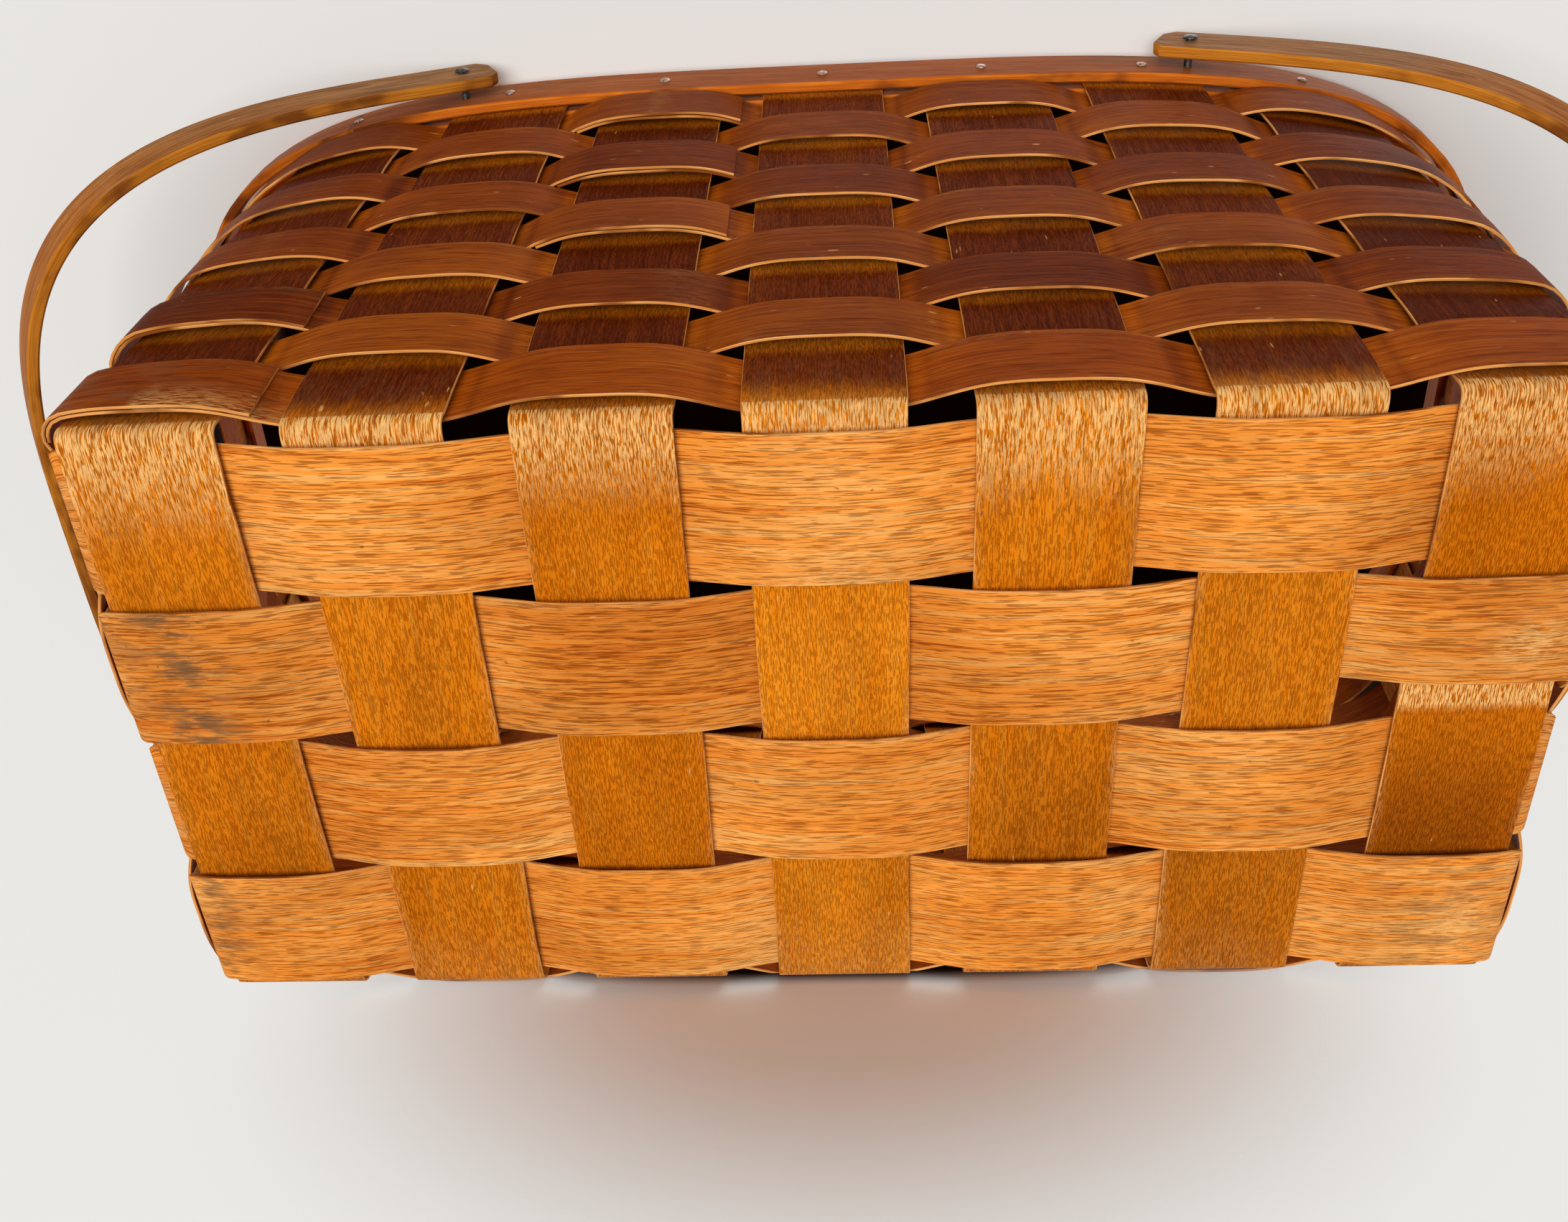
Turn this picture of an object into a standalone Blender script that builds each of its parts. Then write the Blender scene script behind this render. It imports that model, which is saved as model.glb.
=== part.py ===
"""Woven splint picnic basket with two bentwood swing handles, modelled piece by piece.

Metres, +Z up, standing on its woven base, origin at the middle of the base.
The long sides run along X.  Seven crosswise stakes and four lengthwise stakes are
woven into the base and turn up the walls, nine weaver strips go round the walls,
and two nailed bands clamp the stake tops.  Each handle swings on a pair of rivets.
"""
import math

import bmesh
import bpy
import numpy as np
from mathutils import Vector

# Base, walls and height
BASE_LENGTH = 0.458
BASE_WIDTH = 0.223
BASE_CORNER_RADIUS = 0.006
HEIGHT = 0.247
RIM_LENGTH = 0.550
RIM_WIDTH = 0.3076
RIM_ROUNDNESS = 3.8

# Stakes, the strips that are woven into the base and stand up in the walls
CROSSWISE_COUNT = 7
CROSSWISE_WIDTH = 0.048
CROSSWISE_EDGE_MARGIN = 0.004
CROSSWISE_DRAW_IN = 0.95
LENGTHWISE_COUNT = 4
LENGTHWISE_WIDTH = 0.051
LENGTHWISE_WALL_WIDTH = 0.042
LENGTHWISE_EDGE_MARGIN = 0.005
LENGTHWISE_FAN_OUT = 1.12
STRIP_THICKNESS = 0.0010
BASE_WAVE = 0.0036
CROSSWISE_WAVE = 0.0005
WALL_FOOT = 0.0045
STAKE_TOP_DROP = 0.001

# Weavers, the thin strips that go round the walls
WEAVER_COUNT = 9
WEAVER_GAP = 0.0006
FIRST_WEAVER_BOTTOM = 0.0083
FIRST_WEAVER_WIDTH = 0.0275
WEAVER_BELOW_RIM = 0.0021
WEAVER_WAVE = 0.0040
LAP_ROWS_AT = (0, 13, 0, 15, 2, 13, 2, 15, 2)

# Rim bands
RIM_HEIGHT = 0.0195
OUTER_RIM_THICKNESS = 0.0040
INNER_RIM_THICKNESS = 0.0030
RIM_GAP = 0.0006
FIT_GAP = 0.0003

# Nails through the rim, one at each stake
NAIL_HEAD_RADIUS = 0.0021
NAIL_HEAD_HEIGHT = 0.0008
NAIL_SHANK_RADIUS = 0.0008
NAIL_END = 0.0006

# Handles and their rivets; each pivot is beside a stake counted from the middle one
PIVOT_STAKE_COUNT = 2
PIVOT_FROM_STAKE = 0.0192
PIVOT_BELOW_TOP = 0.010
HANDLE_REACH = 0.196
HANDLE_ROUNDNESS = 3.4
HANDLE_WIDTH = 0.019
HANDLE_THICKNESS = 0.0045
HANDLE_TAIL = 0.013
HANDLE_END_CLIP = 0.004
HANDLE_TILT = math.radians(8.0)
HANDLE_CLEARANCE = 0.0020
HANDLE_DROP = math.radians(32.0)
RIVET_HEAD_RADIUS = 0.0030
RIVET_HEAD_HEIGHT = 0.0014
RIVET_SHANK_RADIUS = 0.0016

# Shape of the weave: how flat the crests are and how full the arches are
CREST_FLAT = 0.06
ARCH_FULLNESS = 0.3

# Mesh steps
CURVE_POINTS = 2400
WALL_STEPS = 5
CORNER_STEPS = 4
BEND_STEPS = 3
HANDLE_STEPS = 28
ROUND_SIDES = 12
NAIL_SIDES = 6

# Values that follow from the sizes above
CROSSWISE_PITCH = (
    (BASE_LENGTH - 2 * CROSSWISE_EDGE_MARGIN - CROSSWISE_WIDTH) / (CROSSWISE_COUNT - 1)
)
LENGTHWISE_PITCH = (
    (BASE_WIDTH - 2 * LENGTHWISE_EDGE_MARGIN - LENGTHWISE_WIDTH) / (LENGTHWISE_COUNT - 1)
)
BASE_MIDDLE_Z = BASE_WAVE + STRIP_THICKNESS / 2
FOOT_Z = BASE_MIDDLE_Z + WALL_FOOT
RIM_BOTTOM = HEIGHT - RIM_HEIGHT
SECOND_WEAVER_BOTTOM = FIRST_WEAVER_BOTTOM + FIRST_WEAVER_WIDTH + WEAVER_GAP
WEAVER_PITCH = (
    (RIM_BOTTOM - WEAVER_BELOW_RIM + WEAVER_GAP - SECOND_WEAVER_BOTTOM) / (WEAVER_COUNT - 1)
)
WEAVER_WIDTH = WEAVER_PITCH - WEAVER_GAP
NAIL_Z = HEIGHT - PIVOT_BELOW_TOP
PIVOT_Z = HEIGHT - PIVOT_BELOW_TOP
PIVOT_X = PIVOT_STAKE_COUNT * CROSSWISE_PITCH * CROSSWISE_DRAW_IN + PIVOT_FROM_STAKE
OUTER_RIM_INSIDE = STRIP_THICKNESS / 2 + RIM_GAP
OUTER_RIM_OUTSIDE = OUTER_RIM_INSIDE + OUTER_RIM_THICKNESS
INNER_RIM_OUTSIDE = -STRIP_THICKNESS / 2 - RIM_GAP
INNER_RIM_INSIDE = INNER_RIM_OUTSIDE - INNER_RIM_THICKNESS


def clear_scene():
    for thing in list(bpy.data.objects):
        bpy.data.objects.remove(thing, do_unlink=True)


def make_material(name, colour, roughness, metallic=0.0):
    material = bpy.data.materials.new(name)
    material.use_nodes = True
    shader = material.node_tree.nodes["Principled BSDF"]
    shader.inputs["Base Color"].default_value = (*colour, 1.0)
    shader.inputs["Roughness"].default_value = roughness
    shader.inputs["Metallic"].default_value = metallic
    return material


def wave(distance):
    """Height of the weave, 1 at a crest and 0 halfway to the next, in strip pitches."""
    past_flat = max(0.0, abs(distance) - CREST_FLAT)
    height = math.cos(past_flat / (0.5 - CREST_FLAT) * math.pi / 2)
    return height * (1 + ARCH_FULLNESS * (1 - height * height))


def woven_offset(place, row):
    """Weave height at a place counted in stakes; the sign changes at each stake."""
    stake = math.floor(place + 0.5)
    sign = 1 if (stake + row) % 2 == 0 else -1
    return sign * wave(place - stake)


class PlanCurve:
    """A closed outline seen from above, read by its length from the front middle."""

    def __init__(self, points):
        closed = np.vstack([points, points[:1]])
        steps = np.hypot(*np.diff(closed, axis=0).T)
        self.points = closed
        self.lengths = np.concatenate([[0.0], np.cumsum(steps)])
        self.total = self.lengths[-1]

    def at(self, length):
        place = length % self.total
        return np.array([np.interp(place, self.lengths, self.points[:, axis]) for axis in (0, 1)])

    def quarter(self):
        count = len(self.points) // 4 + 1
        return self.points[:count], self.lengths[:count]

    def length_at_x(self, x):
        points, lengths = self.quarter()
        return math.copysign(np.interp(abs(x), points[:, 0], lengths), x)

    def length_at_y(self, y):
        points, lengths = self.quarter()
        front = np.interp(-abs(y), points[:, 1], lengths)
        return front if y < 0 else self.total / 2 - front


def superellipse(half_x, half_y, roundness):
    angles = np.linspace(-math.pi / 2, 3 * math.pi / 2, CURVE_POINTS, endpoint=False)
    cosines, sines = np.cos(angles), np.sin(angles)
    x = half_x * np.sign(cosines) * np.abs(cosines) ** (2 / roundness)
    y = half_y * np.sign(sines) * np.abs(sines) ** (2 / roundness)
    return np.column_stack([x, y])


def rounded_rectangle(half_x, half_y, radius):
    """One quarter is laid out from the front middle, then mirrored round."""
    each = CURVE_POINTS // 12
    front = [(t * (half_x - radius), -half_y) for t in np.linspace(0, 1, each, endpoint=False)]
    turn = [
        (half_x - radius + radius * math.sin(a), -half_y + radius - radius * math.cos(a))
        for a in np.linspace(0, math.pi / 2, each, endpoint=False)
    ]
    end = [(half_x, -(1 - t) * (half_y - radius)) for t in np.linspace(0, 1, each, endpoint=False)]
    quarter = np.array(front + turn + end)
    half = np.vstack([quarter, [(half_x, 0.0)], quarter[:0:-1] * (1, -1)])
    return np.vstack([half, half * (-1, -1)])


class Walls:
    """The middle surface of the walls, from the base outline up to the rim outline.

    A place round the walls is counted in stakes from the left front one.
    """

    def __init__(self):
        self.base = PlanCurve(rounded_rectangle(BASE_LENGTH / 2, BASE_WIDTH / 2, BASE_CORNER_RADIUS))
        self.rim = PlanCurve(superellipse(RIM_LENGTH / 2, RIM_WIDTH / 2, RIM_ROUNDNESS))
        across = [(n - (CROSSWISE_COUNT - 1) / 2) * CROSSWISE_PITCH for n in range(CROSSWISE_COUNT)]
        along = [(n - (LENGTHWISE_COUNT - 1) / 2) * LENGTHWISE_PITCH for n in range(LENGTHWISE_COUNT)]
        self.across, self.along = across, along
        self.count = 2 * (CROSSWISE_COUNT + LENGTHWISE_COUNT)
        self.base_table = self.place_table(self.base, across, along)
        self.rim_table = self.place_table(
            self.rim,
            [x * CROSSWISE_DRAW_IN for x in across],
            [y * LENGTHWISE_FAN_OUT for y in along],
        )

    def half_share(self, index):
        """Half a stake's width as a share of the pitch of its side."""
        if self.is_crosswise(index):
            return CROSSWISE_WIDTH / 2 / CROSSWISE_PITCH
        return LENGTHWISE_WALL_WIDTH / 2 / LENGTHWISE_PITCH

    def is_crosswise(self, index):
        return index % (CROSSWISE_COUNT + LENGTHWISE_COUNT) < CROSSWISE_COUNT

    def half_width(self, index):
        return (CROSSWISE_WIDTH if self.is_crosswise(index) else LENGTHWISE_WALL_WIDTH) / 2

    def place_table(self, curve, across, along):
        """Places of the stake edges and middles against the length along the curve."""
        centres = [curve.length_at_x(x) for x in across]
        centres += [curve.length_at_y(y) for y in along]
        centres += [length + curve.total / 2 for length in centres]
        places, lengths = [], []
        for turn in (-1, 0, 1):
            for index, centre in enumerate(centres):
                for side in (-1, 0, 1):
                    places.append(turn * self.count + index + side * self.half_share(index))
                    lengths.append(turn * curve.total + centre + side * self.half_width(index))
        return places, lengths

    def plan(self, place, z):
        share = (z - BASE_MIDDLE_Z) / (HEIGHT - BASE_MIDDLE_Z)
        wrapped = place % self.count
        low = self.base.at(np.interp(wrapped, *self.base_table))
        high = self.rim.at(np.interp(wrapped, *self.rim_table))
        return low + (high - low) * share

    def point(self, place, z, offset=0.0):
        """A point at an offset outwards from the middle surface, level with z."""
        step = 0.004
        ahead, behind = self.plan(place + step, z), self.plan(place - step, z)
        tangent = (ahead - behind) / np.hypot(*(ahead - behind))
        spot = self.plan(place, z)
        return Vector((spot[0] + tangent[1] * offset, spot[1] - tangent[0] * offset, z))

    def places(self, first, last, corner_steps):
        """Sample places between two middles: stake middles, edges, gaps and corners."""
        found = []
        for index in range(math.floor(first), math.ceil(last) + 1):
            leave = index + self.half_share(index)
            arrive = index + 1 - self.half_share(index + 1)
            corner = self.is_crosswise(index) != self.is_crosswise(index + 1)
            steps = corner_steps if corner else 2
            found.append(float(index))
            found += [leave + (arrive - leave) * n / steps for n in range(steps + 1)]
        return [place for place in found if first - 1e-9 <= place <= last + 1e-9]


def loft(name, rings, material, closed=False):
    """Joins equal rings of points into one closed body, with capped ends if open.

    A ring holds the outer row of points and then the inner row backwards, so an end
    is capped by quads between the two rows.
    """
    mesh = bpy.data.meshes.new(name)
    body = bmesh.new()
    loops = [[body.verts.new(point) for point in ring] for ring in rings]
    size = len(loops[0])
    follow = loops[1:] + loops[:1] if closed else loops[1:]
    for near, far in zip(loops, follow):
        for n in range(size):
            m = (n + 1) % size
            body.faces.new((near[n], near[m], far[m], far[n]))
    if not closed:
        for loop in (loops[0], loops[-1]):
            for n in range(size // 2 - 1):
                body.faces.new((loop[n], loop[n + 1], loop[size - 2 - n], loop[size - 1 - n]))
    bmesh.ops.recalc_face_normals(body, faces=body.faces)
    body.to_mesh(mesh)
    body.free()
    mesh.materials.append(material)
    part = bpy.data.objects.new(name, mesh)
    bpy.context.collection.objects.link(part)
    return part


def strip_ring(middle, across, out, half_width, thickness):
    """Six points of a flat strip's section, three on each face."""
    outer = [middle + across * (side * half_width) + out * (thickness / 2) for side in (-1, 0, 1)]
    inner = [middle + across * (side * half_width) - out * (thickness / 2) for side in (1, 0, -1)]
    return outer + inner


def base_height(place, first_sign, amplitude):
    """Height of a stake in the base where it goes over and under the other set."""
    stake = math.floor(place + 0.5)
    sign = first_sign if stake % 2 == 0 else -first_sign
    return BASE_MIDDLE_Z + sign * amplitude * wave(place - stake)


def wall_ring(walls, index, z):
    share = walls.half_share(index)
    half = STRIP_THICKNESS / 2
    outer = [walls.point(index + side * share, z, half) for side in (-1, 0, 1)]
    inner = [walls.point(index + side * share, z, -half) for side in (1, 0, -1)]
    return outer + inner


def wall_rings(walls, index):
    """Sections of a stake from the foot of the wall up to its top, bottom first."""
    levels = [FOOT_Z + (RIM_BOTTOM - FOOT_Z) * n / WALL_STEPS for n in range(WALL_STEPS + 1)]
    levels.append(HEIGHT - STAKE_TOP_DROP)
    return [wall_ring(walls, index, z) for z in levels]


def bend_rings(last_base, first_wall, outward):
    """Sections that turn from the flat base up into the wall, both ends left out."""
    rings = []
    for n in range(1, BEND_STEPS):
        t = n / BEND_STEPS
        ring = []
        for low, high in zip(last_base, first_wall):
            reach = (high - low).dot(outward)
            corner = low + outward * reach
            ring.append(low * (1 - t) ** 2 + corner * (2 * t * (1 - t)) + high * t * t)
        rings.append(ring)
    return rings


def stake(name, walls, base_rings, start_index, end_index, outward, material):
    """A stake from the top of one wall, under the base and up the opposite wall."""
    start = [list(reversed_sides(ring)) for ring in wall_rings(walls, start_index)]
    end = wall_rings(walls, end_index)
    down = bend_rings(base_rings[0], start[0], -outward)
    up = bend_rings(base_rings[-1], end[0], outward)
    rings = list(reversed(start)) + list(reversed(down)) + base_rings + up + end
    return loft(name, rings, material)


def reversed_sides(ring):
    """Swaps the left and right side of a strip section, keeping its outer face."""
    return [ring[2], ring[1], ring[0], ring[5], ring[4], ring[3]]


def crosswise_stake(number, walls, material):
    x = walls.across[number]
    first_sign = 1 if number % 2 else -1
    stops = [n / 2 for n in range(2 * (LENGTHWISE_COUNT - 1) + 1)]
    edge = LENGTHWISE_WIDTH / 2 / LENGTHWISE_PITCH + 0.01
    stops = [-edge] + stops + [LENGTHWISE_COUNT - 1 + edge]
    rings = []
    for place in stops:
        y = walls.along[0] + place * LENGTHWISE_PITCH
        z = base_height(place, first_sign, CROSSWISE_WAVE)
        middle = Vector((x, y, z))
        rings.append(strip_ring(middle, Vector((-1, 0, 0)), Vector((0, 0, -1)),
                                CROSSWISE_WIDTH / 2, STRIP_THICKNESS))
    front, back = number, 2 * CROSSWISE_COUNT + LENGTHWISE_COUNT - 1 - number
    name = f"crosswise_stake_{number + 1}"
    return stake(name, walls, rings, front, back, Vector((0, 1, 0)), material)


def lengthwise_stake(number, walls, material):
    y = walls.along[number]
    first_sign = 1 if number % 2 == 0 else -1
    edge = CROSSWISE_WIDTH / 2 / CROSSWISE_PITCH
    stops = []
    for n in range(CROSSWISE_COUNT):
        stops += [n - edge, n - CREST_FLAT, n + CREST_FLAT, n + edge]
        if n < CROSSWISE_COUNT - 1:
            stops.append(n + 0.5)
    rings = []
    for place in stops:
        x = walls.across[0] + place * CROSSWISE_PITCH
        z = base_height(place, first_sign, BASE_WAVE)
        rings.append(strip_ring(Vector((x, y, z)), Vector((0, 1, 0)), Vector((0, 0, -1)),
                                LENGTHWISE_WIDTH / 2, STRIP_THICKNESS))
    right = CROSSWISE_COUNT + number
    left = 2 * CROSSWISE_COUNT + 2 * LENGTHWISE_COUNT - 1 - number
    name = f"lengthwise_stake_{number + 1}"
    return stake(name, walls, rings, left, right, Vector((1, 0, 0)), material)


def weaver(row, walls, material):
    """A strip woven once round the walls, its end lapped over its start at one stake."""
    first = row == 0
    low = FIRST_WEAVER_BOTTOM if first else SECOND_WEAVER_BOTTOM + (row - 1) * WEAVER_PITCH
    high = low + (FIRST_WEAVER_WIDTH if first else WEAVER_WIDTH)
    lap = LAP_ROWS_AT[row % len(LAP_ROWS_AT)]
    lap += (lap + row) % 2
    end = lap + walls.count + 0.5
    half = STRIP_THICKNESS / 2
    clear_of_last = end - 1.5 + walls.half_share(lap - 1)
    rings = []
    for place in walls.places(lap - 0.5, end, CORNER_STEPS):
        rise = min(1.0, max(0.0, (place - clear_of_last) / (end - 1.0 - clear_of_last)))
        middle = WEAVER_WAVE * woven_offset(place, row) + rise * (STRIP_THICKNESS + FIT_GAP)
        outer = [walls.point(place, z, middle + half) for z in (low, high)]
        inner = [walls.point(place, z, middle - half) for z in (high, low)]
        rings.append(outer + inner)
    return loft(f"weaver_{row + 1}", rings, material)


def rim_band(name, walls, inside, outside, material):
    rings = []
    for place in walls.places(0, walls.count - 0.01, 2 * CORNER_STEPS):
        outer = [walls.point(place, z, outside) for z in (RIM_BOTTOM, HEIGHT)]
        inner = [walls.point(place, z, inside) for z in (HEIGHT, RIM_BOTTOM)]
        rings.append(outer + inner)
    return loft(name, rings, material, closed=True)


def turned(name, profile, origin, axis, sides, material):
    """A body turned about an axis; the profile is a list of (distance, radius)."""
    across = axis.cross(Vector((0, 0, 1))).normalized()
    upward = axis.cross(across)
    mesh = bpy.data.meshes.new(name)
    body = bmesh.new()
    rings = []
    for distance, radius in profile:
        ring = []
        for n in range(sides):
            angle = 2 * math.pi * (n + 0.5) / sides
            spoke = across * (radius * math.cos(angle)) + upward * (radius * math.sin(angle))
            ring.append(body.verts.new(origin + axis * distance + spoke))
        rings.append(ring)
    for near, far in zip(rings, rings[1:]):
        for n in range(sides):
            m = (n + 1) % sides
            body.faces.new((near[n], near[m], far[m], far[n]))
    body.faces.new(rings[0])
    body.faces.new(rings[-1])
    bmesh.ops.recalc_face_normals(body, faces=body.faces)
    body.to_mesh(mesh)
    body.free()
    mesh.materials.append(material)
    part = bpy.data.objects.new(name, mesh)
    bpy.context.collection.objects.link(part)
    return part


def join(name, pieces):
    """Puts separate bodies into one object under one name."""
    bpy.ops.object.select_all(action="DESELECT")
    for piece in pieces:
        piece.select_set(True)
    bpy.context.view_layer.objects.active = pieces[0]
    bpy.ops.object.join()
    pieces[0].name = name
    pieces[0].data.name = name
    return pieces[0]


def cutter(name, pieces):
    guide = join(name, pieces)
    guide.hide_render = True
    guide.display_type = "WIRE"
    guide.hide_set(True)
    return guide


def drill(part, guide):
    cut = part.modifiers.new("holes", "BOOLEAN")
    cut.operation = "DIFFERENCE"
    cut.solver = "EXACT"
    cut.object = guide


def nail_axis(walls, index):
    """Where a nail goes through the wall, and the direction square to the leaning band."""
    step = 0.004
    along = walls.point(index + step, NAIL_Z) - walls.point(index - step, NAIL_Z)
    upward = walls.point(index, HEIGHT) - walls.point(index, RIM_BOTTOM)
    return walls.point(index, NAIL_Z), along.cross(upward).normalized()


def nails(walls, material):
    """Nails with low heads, through the outer band, the stake and the inner band."""
    seat = OUTER_RIM_OUTSIDE + FIT_GAP
    profile = [
        (INNER_RIM_INSIDE - NAIL_END, NAIL_SHANK_RADIUS),
        (seat, NAIL_SHANK_RADIUS),
        (seat, NAIL_HEAD_RADIUS),
        (seat + NAIL_HEAD_HEIGHT, NAIL_HEAD_RADIUS * 0.6),
    ]
    holes = []
    for index in range(walls.count):
        middle, outward = nail_axis(walls, index)
        turned(f"rim_nail_{index + 1}", profile, middle, outward, NAIL_SIDES, material)
        reach = 0.02
        hole = [(-reach, NAIL_SHANK_RADIUS + FIT_GAP), (reach, NAIL_SHANK_RADIUS + FIT_GAP)]
        holes.append(turned("nail_hole", hole, middle, outward, NAIL_SIDES, material))
    return cutter("nail_holes", holes)


def rim_outside_y(walls, x):
    """How far out the outer band's top edge reaches beside a given x."""
    length = walls.rim.length_at_x(x)
    return -walls.rim.at(length)[1] + OUTER_RIM_OUTSIDE


def handle_half_span(walls):
    tail_x = PIVOT_X - HANDLE_TAIL
    lean = HANDLE_WIDTH / 2 * math.sin(HANDLE_TILT)
    return rim_outside_y(walls, tail_x) + HANDLE_CLEARANCE + lean / 2 + HANDLE_THICKNESS


def handle(name, side, half_span, material):
    """A flat strip bent into a U; it is drawn in its own plane, then swung down.

    Before it swings, reach runs outwards along X, span along Y and its width along Z.
    """
    stations = [(-HANDLE_TAIL, -1.0, HANDLE_END_CLIP), (-HANDLE_TAIL + HANDLE_END_CLIP, -1.0, 0.0)]
    for n in range(HANDLE_STEPS + 1):
        angle = -math.pi / 2 + math.pi * n / HANDLE_STEPS
        bow = abs(math.cos(angle)) ** (2 / HANDLE_ROUNDNESS)
        swing = math.copysign(abs(math.sin(angle)) ** (2 / HANDLE_ROUNDNESS), math.sin(angle))
        if n in (0, HANDLE_STEPS):
            bow = 0.0
        stations.append((HANDLE_REACH * bow, swing, 0.0))
    stations += [(reach, 1.0, clip) for reach, _, clip in reversed(stations[:2])]
    middle_line = [Vector((reach, share * half_span)) for reach, share, _ in stations]
    rings = []
    for n, (spot, station) in enumerate(zip(middle_line, stations)):
        before = middle_line[max(0, n - 1)]
        after = middle_line[min(len(middle_line) - 1, n + 1)]
        tangent = (after - before).normalized()
        outward = Vector((tangent.y, -tangent.x))
        tilt = HANDLE_TILT * abs(outward.y)
        half = HANDLE_WIDTH / 2 - station[2]
        face = Vector((outward.x * math.cos(tilt), outward.y * math.cos(tilt), -math.sin(tilt)))
        rise = Vector((outward.x * math.sin(tilt), outward.y * math.sin(tilt), math.cos(tilt)))
        outer_point = Vector((spot.x, spot.y, 0.0))
        inner_point = outer_point - face * HANDLE_THICKNESS
        ring = [
            outer_point - rise * half,
            outer_point + rise * half,
            inner_point + rise * half,
            inner_point - rise * half,
        ]
        rings.append([Vector((side * point.x, point.y, point.z)) for point in ring])
    part = loft(name, rings, material)
    part.location = (side * PIVOT_X, 0.0, PIVOT_Z)
    part.rotation_euler = (0.0, side * HANDLE_DROP, 0.0)
    return part


def rivets(walls, half_span, material):
    """Four rivets on the two hinge lines, with a head outside and a clinched end inside."""
    lean = HANDLE_WIDTH / 2 * math.sin(HANDLE_TILT)
    rim_in = -walls.rim.at(walls.rim.length_at_x(PIVOT_X))[1] + INNER_RIM_INSIDE
    lowest = RIM_HEIGHT * (RIM_WIDTH - BASE_WIDTH) / 2 / HEIGHT
    inside = rim_in - lowest - FIT_GAP
    seat = half_span + FIT_GAP + lean * RIVET_HEAD_RADIUS / HANDLE_WIDTH * 2
    profile = [
        (inside - RIVET_HEAD_HEIGHT / 2, RIVET_HEAD_RADIUS * 0.7),
        (inside, RIVET_HEAD_RADIUS * 0.9),
        (inside, RIVET_SHANK_RADIUS),
        (seat, RIVET_SHANK_RADIUS),
        (seat, RIVET_HEAD_RADIUS),
        (seat + RIVET_HEAD_HEIGHT * 0.6, RIVET_HEAD_RADIUS * 0.9),
        (seat + RIVET_HEAD_HEIGHT, RIVET_HEAD_RADIUS * 0.5),
    ]
    holes = []
    for side, side_name in ((-1, "left"), (1, "right")):
        origin = Vector((side * PIVOT_X, 0.0, PIVOT_Z))
        for facing, face_name in ((-1, "front"), (1, "back")):
            axis = Vector((0.0, facing, 0.0))
            turned(f"pivot_rivet_{side_name}_{face_name}", profile, origin, axis, ROUND_SIDES, material)
        bore = RIVET_SHANK_RADIUS + FIT_GAP
        through = [(-2 * half_span, bore), (2 * half_span, bore)]
        holes.append(turned("bore", through, origin, Vector((0, 1, 0)), ROUND_SIDES, material))
    return cutter("pivot_bores", holes)


def build():
    clear_scene()
    walls = Walls()
    base_wood = make_material("base_splint", (0.46, 0.20, 0.055), 0.5)
    cross_wood = make_material("crosswise_splint", (0.33, 0.15, 0.035), 0.5)
    weaver_wood = make_material("weaver_splint", (0.22, 0.075, 0.022), 0.42)
    rim_wood = make_material("rim_band_wood", (0.24, 0.09, 0.035), 0.5)
    handle_wood = make_material("handle_wood", (0.30, 0.13, 0.05), 0.5)
    steel = make_material("dull_steel", (0.16, 0.13, 0.11), 0.5, 0.9)

    crosswise = [crosswise_stake(n, walls, cross_wood) for n in range(CROSSWISE_COUNT)]
    lengthwise = [lengthwise_stake(n, walls, base_wood) for n in range(LENGTHWISE_COUNT)]
    for row in range(WEAVER_COUNT):
        weaver(row, walls, weaver_wood)
    outer = rim_band("outer_rim", walls, OUTER_RIM_INSIDE, OUTER_RIM_OUTSIDE, rim_wood)
    inner = rim_band("inner_rim", walls, INNER_RIM_INSIDE, INNER_RIM_OUTSIDE, rim_wood)
    nail_holes = nails(walls, steel)
    half_span = handle_half_span(walls)
    left = handle("handle_left", -1, half_span, handle_wood)
    right = handle("handle_right", 1, half_span, handle_wood)
    pivot_bores = rivets(walls, half_span, steel)
    for part in crosswise + lengthwise + [outer, inner]:
        drill(part, nail_holes)
    middle = CROSSWISE_COUNT // 2
    pivot_stakes = [crosswise[middle - PIVOT_STAKE_COUNT], crosswise[middle + PIVOT_STAKE_COUNT]]
    for part in pivot_stakes + [outer, inner, left, right]:
        drill(part, pivot_bores)


build()
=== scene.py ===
"""Looks of the woven splint picnic basket: fine strips, worn varnish, stage, light and camera.

Metres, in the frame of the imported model: the basket stands on z = 0 with its long sides
along X.  Each strip, band, handle, nail and rivet is a finer mesh on the middle surface of
the solid that it stands for.  The photograph looks up at the base, so the camera is below.
"""

import math
import random

import bpy
import numpy as np
from mathutils import Matrix, Vector


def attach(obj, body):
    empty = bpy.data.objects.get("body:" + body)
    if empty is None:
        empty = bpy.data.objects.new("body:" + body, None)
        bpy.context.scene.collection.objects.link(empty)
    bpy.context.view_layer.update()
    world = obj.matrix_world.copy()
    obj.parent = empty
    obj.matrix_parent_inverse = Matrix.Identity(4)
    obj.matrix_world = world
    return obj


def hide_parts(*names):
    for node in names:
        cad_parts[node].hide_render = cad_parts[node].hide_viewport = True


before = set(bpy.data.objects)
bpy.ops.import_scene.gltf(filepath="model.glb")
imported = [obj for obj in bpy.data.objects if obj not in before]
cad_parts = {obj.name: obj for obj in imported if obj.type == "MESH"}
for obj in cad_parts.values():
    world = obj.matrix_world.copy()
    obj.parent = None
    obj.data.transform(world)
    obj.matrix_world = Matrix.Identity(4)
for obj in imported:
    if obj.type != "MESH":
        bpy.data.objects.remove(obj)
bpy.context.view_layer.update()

# Base, walls and height, as in the solids
BASE_LENGTH = 0.458
BASE_WIDTH = 0.223
BASE_CORNER_RADIUS = 0.006
HEIGHT = 0.247
RIM_LENGTH = 0.550
RIM_WIDTH = 0.3076
RIM_ROUNDNESS = 3.8

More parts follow.
